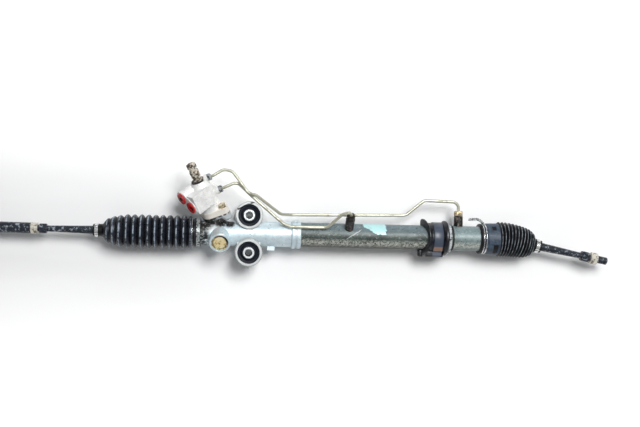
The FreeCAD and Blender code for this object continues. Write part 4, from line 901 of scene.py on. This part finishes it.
# The collar's rows of points are fine, so that the windows in it get clean edges.
collar = [(0.0235 + 0.0012 * k, 0.0312 + 0.000035 * k) for k in range(19)]
right_ribs = [(FIRST_RIB + RIB_PITCH * k, RIB_R - RIB_SHRINK * k * k) for k in range(FULL_RIBS)]
right_ribs += [(0.1040, 0.0290), (0.1095, 0.0262), (0.1145, 0.0228)]
right_tail = [
    (0.1180, 0.0168), (0.1195, 0.0150), (0.1210, 0.0125), (0.1285, 0.0124), (0.1340, 0.0123),
]
right_boot = dress_boot(
    "right", right_cuff + collar + ribs(right_ribs) + right_tail, right_line, RIGHT_CUTS, RIB_RUBBER,
    right_ribs, RIB_DEPTH, ("right_ball_pin", "right_rod"))
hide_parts("right_boot")
right_boot[0].data.materials[0] = COLLAR_RUBBER
print("right boot pieces", len(right_boot), "crests", len(right_ribs))

# %% [markdown]
# ## Windows in the collar
# The collar has two shallow moulded windows, and the shade inside them is painted dark. A cut with a
# boolean would break the even rows of points, so the points inside each window only sink a little, and a
# value on every point tells the finish where to paint that shade. The dark rim at the collar's end is
# marked as well.

# %% Windows in the collar
WINDOW_DEPTH = 0.0018
SKIN_R = 0.0300
DARK_RIM = 0.0165
# Each window is a stretch in X and a stretch of the turn round the rack, in degrees.
COLLAR_WINDOWS = [((0.4800, 0.4885), (36, 56)), ((0.4820, 0.4920), (109, 150))]


def press_windows(piece):
    """Sinks the moulded windows and marks them for the painted shade."""
    marks = []
    for vertex in piece.data.vertices:
        x, y, z = vertex.co
        turn = math.degrees(math.atan2(z - AXIS_Z, y))
        radius = math.hypot(y, z - AXIS_Z)
        inside = any(a < x < b and c < turn < d for (a, b), (c, d) in COLLAR_WINDOWS)
        rim = x < RIGHT_START + DARK_RIM
        if inside and radius > SKIN_R:
            vertex.co.y *= 1 - WINDOW_DEPTH / radius
            vertex.co.z -= WINDOW_DEPTH * (z - AXIS_Z) / radius
        marks.append(1.0 if inside or rim else 0.0)
    piece.data.attributes.new("window", "FLOAT", "POINT").data.foreach_set("value", marks)
    return sum(marks)


print("window points", press_windows(right_boot[0]))

# %% [markdown]
# ## Mount bushes
# Each eye holds a rubber ring, bonded between the casting and a steel sleeve, so that the bolts hold the
# rack without passing its noise on. A plain tube of rubber would fill the gap, but the moulded groove
# and the lip at the sleeve are what the light catches, so the ring is turned on the lathe.

# %% Mount bushes
def mount_bush(name, node, centre_y):
    """A rubber ring in the place of the plain one, with a groove in its upper face."""
    base, top = low(node), high(node)
    outer = (top.x - base.x) / 2
    inner = (high("upper_mount_sleeve").x - low("upper_mount_sleeve").x) / 2
    middle = (outer + inner) / 2
    loop = [
        (base.z, inner), (base.z, outer), (top.z - 0.001, outer), (top.z + 0.0005, outer - 0.0012),
        (top.z, outer - 0.003), (top.z - 0.004, middle + 0.0015), (top.z - 0.0045, middle),
        (top.z - 0.003, middle - 0.0015), (top.z + 0.0015, inner + 0.0015), (top.z + 0.0015, inner),
    ]
    line = straight(Vector((0, centre_y, 0)), UP)
    piece = lathe(name, loop, line, "housing", BUSH_RUBBER, angle=40.0)
    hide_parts(node)
    return piece


mount_bush("upper_bush_ring", "upper_mount_rubber", EYE_Y)
mount_bush("lower_bush_ring", "lower_mount_rubber", -EYE_Y)
print("bushes at y", round(EYE_Y, 4))

# %% [markdown]
# ## Bush round the tube
# The tube is carried by a rubber bush that a clamp on the car would hold. Its left lip is drawn back
# over the top, like a saddle, so it stands out at both sides. The right lip is straight, and a foot bar
# with two knobs lies in front. The lathe makes the round part, its points move along X to draw the lip
# back, and blocks with a Bevel modifier are enough for the foot.

# %% Bush round the tube
LIP_SET_BACK, SET_BACK_LENGTH = 0.0125, 0.017


def block(name, lowest, highest, bevel, body, material):
    """A block with rounded edges."""
    corners = [
        (x, y, z) for x in (lowest[0], highest[0]) for y in (lowest[1], highest[1])
        for z in (lowest[2], highest[2])
    ]
    sides = [(0, 1, 3, 2), (4, 6, 7, 5), (0, 4, 5, 1), (2, 3, 7, 6), (0, 2, 6, 4), (1, 5, 7, 3)]
    piece = add_piece(name, corners, sides, body, material)
    rounding = piece.modifiers.new("rounding", "BEVEL")
    rounding.width = bevel
    rounding.segments = 4
    return piece


def bush_rubber_on_tube():
    """Black rubber with a bluish panel whose lighter colour is partly painted sheen, and rust that has run
    onto the panel's front.
    """
    f = Finish("tube_bush_rubber", roughness=0.34)
    x, y = f.value_along(ALONG), f.value_along((0, 1, 0))
    dust = f.ramp(f.noise(0.006, 7, 0.8), (0.50, 0.0), (0.56, 1.0))
    base = f.mix(f.all_of(dust, 0.6), (0.005, 0.006, 0.009), (0.030, 0.035, 0.047))
    panel = f.band(x, BUSH_START + 0.0235, BUSH_START + 0.0405, 0.0008)
    # The panel's paler blue is partly the smooth rubber's tone and partly painted sheen.
    base = f.mix(f.all_of(panel, 0.8), base, (0.075, 0.095, 0.135))
    rust = f.all_of(panel, f.band(y, -0.0255, -0.0185, 0.0015))
    base = f.mix(f.all_of(rust, 0.8), base, (0.36, 0.20, 0.14))
    f.set("Base Color", base)
    f.set("Normal", f.bump(f.noise(0.0018, 5, 0.7), 0.25, 0.0005))
    return f.material


BUSH_START = low("tube_mount_rubber").x + 0.004
BUSH_LENGTH = high("tube_mount_rubber").x - BUSH_START
print("bush from", round(BUSH_START, 4), "long", round(BUSH_LENGTH, 4))
TUBE_BUSH_RUBBER = bush_rubber_on_tube()
lip, small_lip, waist = TUBE_R + 0.0130, TUBE_R + 0.0100, TUBE_R + 0.0052
bush_loop = [
    (0.0000, TUBE_R), (0.0000, lip - 0.006), (0.0010, lip - 0.002), (0.0030, lip), (0.0065, lip),
    (0.0085, lip - 0.002), (0.0110, waist + 0.002), (0.0150, waist), (0.0220, waist),
    (0.0228, waist + 0.0012), (0.0238, waist + 0.0016), (0.0400, waist + 0.0016), (0.0410, waist + 0.0010),
    (0.0425, waist), (0.0440, waist + 0.002), (0.0450, small_lip - 0.001), (0.0465, small_lip),
    (0.0500, small_lip), (BUSH_LENGTH, small_lip - 0.0015), (BUSH_LENGTH, TUBE_R),
]
tube_bush = lathe(
    "tube_bush", bush_loop, straight(Vector((BUSH_START, 0, AXIS_Z)), ALONG), "housing", TUBE_BUSH_RUBBER)
for vertex in tube_bush.data.vertices:
    from_start = vertex.co.x - BUSH_START
    upright = abs(vertex.co.z - AXIS_Z) / math.hypot(vertex.co.y, vertex.co.z - AXIS_Z)
    vertex.co.x += LIP_SET_BACK * upright ** 1.5 * max(0.0, 1 - from_start / SET_BACK_LENGTH)
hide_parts("tube_mount_rubber")

foot_y = low("tube_mount_rubber").y
block(
    "bush_foot_bar", (BUSH_START + 0.009, foot_y + 0.0005, AXIS_Z - 0.013),
    (BUSH_START + 0.043, foot_y + 0.012, AXIS_Z + 0.013), 0.0025, "housing", TUBE_BUSH_RUBBER)
for number, knob_x in enumerate((BUSH_START - 0.004, BUSH_START + 0.035)):
    block(
        f"bush_knob_{number + 1}", (knob_x, foot_y, AXIS_Z - 0.0075),
        (knob_x + 0.011, foot_y + 0.014, AXIS_Z + 0.0075), 0.0030, "housing", TUBE_BUSH_RUBBER)
print("foot's front at y", round(foot_y, 4))

# %% [markdown]
# ## Chipped ring
# A thin steel ring lies beside the bush, its rim nicked all round and its right half black. Nicks could
# be carved one by one. Two waves of different counts, multiplied, give uneven ones all round at once,
# and they only touch the rim, so that the ring stays tight on the tube.

# %% Chipped ring
NICK_DEPTH, NICK_WAVES, PATCH_WAVES, NICK_SLANT = 0.0007, 31, 17, 700
RIM_HEIGHT = 0.004


def chips(distance, turn, radius):
    """How far the rim is nicked at one place."""
    if radius <= TUBE_R + RIM_HEIGHT:
        return 0
    return NICK_DEPTH * math.sin(NICK_WAVES * turn + NICK_SLANT * distance) * math.sin(PATCH_WAVES * turn)


ring_r = (high("tube_mount_ring").z - low("tube_mount_ring").z) / 2
ring_start = low("tube_mount_ring").x
ring_loop = [
    (0.0, TUBE_R), (0.0, ring_r - 0.001), (0.0012, ring_r), (0.0025, ring_r - 0.0008), (0.0038, ring_r),
    (0.0050, ring_r - 0.001), (0.0050, TUBE_R + 0.0022), (0.0062, TUBE_R + 0.0022),
    (0.0070, TUBE_R + 0.0012), (0.0105, TUBE_R + 0.0008), (0.0110, TUBE_R),
]
RING_STEEL = steel(
    "chipped_ring_steel", (0.82, 0.86, 0.88), (0.015, 0.017, 0.020), cover=0.34, strength=1.0,
    metallic=0.3, roughness=0.32, grain=0.006, dark_from=ring_start + 0.0055)
ring = lathe(
    "chipped_ring", ring_loop, straight(Vector((ring_start, 0, AXIS_Z)), ALONG), "housing", RING_STEEL,
    bulge=chips)
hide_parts("tube_mount_ring")
print("ring from", round(ring_start, 4), "radius", round(ring_r, 4))

# %% [markdown]
# ## Wires
# A thin wire clamps the left boot beside its band. The wires of the right boot end in a twisted tail,
# two strands wound round each other. The lathe could make the hoop, but not the tail, so both are
# curves with a round bevel, which turn any row of points into a wire.

# %% Wires
LEFT_WIRE_R, TAIL_WIRE_R = 0.0008, 0.0013
LEFT_HOOP_AT, LEFT_HOOP_R = 0.0165, 0.0296


def wire(name, points, radius, body, closed=False, material=BRIGHT_STEEL):
    """A round wire along the points."""
    curve = bpy.data.curves.new(name, "CURVE")
    curve.dimensions = "3D"
    curve.bevel_depth = radius
    curve.bevel_resolution = 3
    curve.use_fill_caps = True
    spline = curve.splines.new("POLY")
    spline.points.add(len(points) - 1)
    for point, co in zip(spline.points, points):
        point.co = (*co, 1)
    spline.use_cyclic_u = closed
    curve.materials.append(material)
    piece = bpy.data.objects.new(name, curve)
    bpy.context.scene.collection.objects.link(piece)
    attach(piece, body)
    return piece


def hoop_points(x, radius, count=72):
    """Points of a circle round the rack's line."""
    turns = [2 * math.pi * k / count for k in range(count)]
    return [(x, radius * math.cos(a), AXIS_Z + radius * math.sin(a)) for a in turns]


left_hoop = hoop_points(LEFT_CUFF_X - LEFT_HOOP_AT, LEFT_HOOP_R)
wire("left_boot_wire", left_hoop, LEFT_WIRE_R, "housing", closed=True)


def strand(path, turn_start, pitch=0.0075, radius=0.0014, steps=80):
    """Points of one strand that winds round a path of straight runs."""
    lengths = [(b - a).length for a, b in zip(path, path[1:])]
    whole = sum(lengths)
    points = []
    for k in range(steps + 1):
        gone = whole * k / steps
        run = 0
        while run < len(lengths) - 1 and gone > lengths[run]:
            gone -= lengths[run]
            run += 1
        way = (path[run + 1] - path[run]).normalized()
        level, over = side_of(way)
        turn = turn_start + 2 * math.pi * whole * k / steps / pitch
        aside = level * radius * math.cos(turn) + over * radius * math.sin(turn)
        points.append(path[run] + way * gone + aside)
    return points


wire_x = (low("right_boot_wires").x + high("right_boot_wires").x) / 2
tail = [
    Vector((wire_x - 0.001, 0.0285, 0.0440)), Vector((wire_x - 0.006, 0.0345, 0.0440)),
    Vector((wire_x - 0.014, 0.0395, 0.0430)), Vector((wire_x - 0.030, 0.0380, 0.0410)),
]
for number, start in enumerate((0.0, math.pi)):
    wire(f"boot_wire_tail_{number + 1}", strand(tail, start), TAIL_WIRE_R, "housing", material=BAND_STEEL)
print("tail length", round(sum((b - a).length for a, b in zip(tail, tail[1:])), 4))

# %% [markdown]
# ## Thread
# The right tie rod's free thread shows past its nut. A true helix could be swept, but so fine a thread
# looks the same as plain ridges, so this one is thirteen rings on the lathe, one pitch apart.

# %% Thread
JAM_NUT_REACH = 0.1815
THREAD_PITCH, THREAD_RINGS = 0.0015, 13
ROOT_R, RIDGE_R, CORE_R = 0.00702, 0.00740, 0.0064
thread_end = JAM_NUT_REACH + THREAD_PITCH * THREAD_RINGS
thread = []
for k in range(THREAD_RINGS):
    at = JAM_NUT_REACH + THREAD_PITCH * k
    thread += [(at, ROOT_R), (at + 0.0006, RIDGE_R), (at + 0.0009, RIDGE_R)]
thread += [(thread_end, ROOT_R), (thread_end, CORE_R), (JAM_NUT_REACH, CORE_R)]
lathe(
    "right_rod_thread", thread, straight(RIGHT_BALL, RIGHT_ROD_WAY), "right_rod", BLACK_STEEL,
    turns=48)
print("thread length", round(thread_end - JAM_NUT_REACH, 4))

# %% [markdown]
# ## Boot of the outer joint
# A small folded boot keeps grease in the outer ball joint. The photo ends before it, so its shape is a
# usual one. It is turned straight up round the stud's place and stays fixed there, tied to no body.

# %% Outer joint's boot
STUD_GAP_R = (high("left_ball_stud").x - low("left_ball_stud").x) / 2 + 0.0003


def outer_joint_boot():
    """The folded boot, turned in one loop of outer and inner points."""
    base, top = low("left_end_boot"), high("left_end_boot")
    height = top.z - base.z
    widest = (top.x - base.x) / 2
    profile = [
        (0.0, widest - 0.004), (0.0, widest - 0.0012), (0.0018, widest - 0.0008), (0.0032, widest - 0.0016),
        (0.0042, widest - 0.0004), (0.0060, widest), (0.0078, widest - 0.0012), (0.0088, widest - 0.0034),
        (0.0096, widest - 0.0036), (0.0110, widest - 0.0042), (0.0122, widest - 0.0062),
        (height - 0.001, widest - 0.0064), (height, widest - 0.0075), (height, STUD_GAP_R),
        (height - 0.003, STUD_GAP_R), (0.0080, widest - 0.0050),
    ]
    middle = Vector(((base.x + top.x) / 2, (base.y + top.y) / 2, base.z))
    piece = lathe("outer_joint_boot", profile, straight(middle, UP), None, BUSH_RUBBER)
    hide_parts("left_end_boot")
    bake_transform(piece)
    return piece


outer_joint_boot()
print("stud gap", round(STUD_GAP_R, 4))

# %% [markdown]
# ## Floor
# The rack lies on a plain white floor, and the photo is white all round the soft shadows. A lit floor
# alone turns grey far from its lamp. So the floor glows for the camera only, and more the farther it
# lies from the rack: the shadows near the rack stay, and no light is added to the rack itself.

# %% Floor
FLOOR_HALF_WIDTH = 6.0
GLOW = 0.8
GLOW_BESIDE_RACK = (0.05, 0.62)
GLOW_ROUND_RACK = (0.65, 2.4)


def plain_floor():
    size = FLOOR_HALF_WIDTH
    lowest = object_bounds()[0][2]
    f = Finish("pale_floor", roughness=0.9, specular=0.0)
    f.set("Base Color", f.ramp(f.noise(0.4, 2), (0.3, 0.93), (0.7, 0.95)))
    camera_ray = f.node("ShaderNodeLightPath").outputs["Is Camera Ray"]
    f.set("Emission Color", (1, 1, 1, 1))
    beside = f.step(f.off_axis((0, 0, 0), ALONG), *GLOW_BESIDE_RACK)
    away = f.sum("MAXIMUM", beside, f.step(f.off_axis((0, 0, 0), UP), *GLOW_ROUND_RACK))
    f.set("Emission Strength", f.all_of(camera_ray, away, GLOW))
    corners = [(-size, -size, lowest), (size, -size, lowest), (size, size, lowest), (-size, size, lowest)]
    mesh = bpy.data.meshes.new("floor")
    mesh.from_pydata(corners, [], [(0, 1, 2, 3)])
    mesh.materials.append(f.material)
    floor = bpy.data.objects.new("floor", mesh)
    bpy.context.scene.collection.objects.link(floor)
    return floor


plain_floor()
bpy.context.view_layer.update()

# %% [markdown]
# ## Light
# A dim sky that is brighter overhead lights the rack from all sides, and the camera sees plain white in
# its place. One large lamp behind the rack and to its right gives the light a direction, so the shadows
# fall to the front. Two narrow strips low at the sides draw light lines along the tube and the pipes. A
# brighter sky could light the flanks as well, but it would take the contrast out of every surface.

# %% Light
SKY_BANDS = [(0.0, (0.05, 0.052, 0.055)), (0.70, (0.13, 0.134, 0.138)), (0.93, (0.27, 0.275, 0.28))]


def studio_sky():
    """The sky's colour by height, from the horizon at zero to straight up at one."""
    world = bpy.data.worlds.new("studio_sky")
    bpy.context.scene.world = world
    world.use_nodes = True
    tree = world.node_tree
    background = tree.nodes["Background"]
    place = tree.nodes.new("ShaderNodeTexCoord")
    parts = tree.nodes.new("ShaderNodeSeparateXYZ")
    ramp = tree.nodes.new("ShaderNodeValToRGB")
    tree.links.new(place.outputs["Generated"], parts.inputs[0])
    tree.links.new(parts.outputs["Z"], ramp.inputs["Fac"])
    elements = ramp.color_ramp.elements
    elements.new(SKY_BANDS[1][0])
    for element, (at, colour) in zip(elements, SKY_BANDS):
        element.position, element.color = at, (*colour, 1)
    seen = tree.nodes.new("ShaderNodeMix")
    seen.data_type = "RGBA"
    light_path = tree.nodes.new("ShaderNodeLightPath")
    tree.links.new(light_path.outputs["Is Camera Ray"], seen.inputs["Factor"])
    tree.links.new(ramp.outputs["Color"], seen.inputs[FIRST_COLOUR])
    seen.inputs[SECOND_COLOUR].default_value = (1, 1, 1, 1)
    tree.links.new(seen.outputs[MIXED_COLOUR], background.inputs["Color"])


def soft_lamp(name, place, aim, size, power, colour=(1, 1, 1)):
    """A rectangle of light at place that faces aim."""
    data = bpy.data.lights.new(name, "AREA")
    data.shape = "RECTANGLE"
    data.size, data.size_y = size
    data.energy = power
    data.color = colour
    lamp = bpy.data.objects.new(name, data)
    lamp.location = place
    lamp.rotation_euler = (Vector(aim) - Vector(place)).to_track_quat("-Z", "Y").to_euler()
    bpy.context.scene.collection.objects.link(lamp)


studio_sky()
soft_lamp("key_lamp", (0.70, 0.95, 2.6), aim=(0.05, 0, 0), size=(1.1, 1.1), power=72)
soft_lamp(
    "far_strip", (0.1, 1.8, 1.0), aim=(0.1, 0, 0), size=(2.4, 0.12), power=3.5, colour=(0.92, 0.97, 1.0))
soft_lamp("near_strip", (0.1, -1.8, 0.8), aim=(0.1, 0, 0), size=(2.4, 0.09), power=3.5)
print("lamps:", [light.name for light in bpy.data.lights])
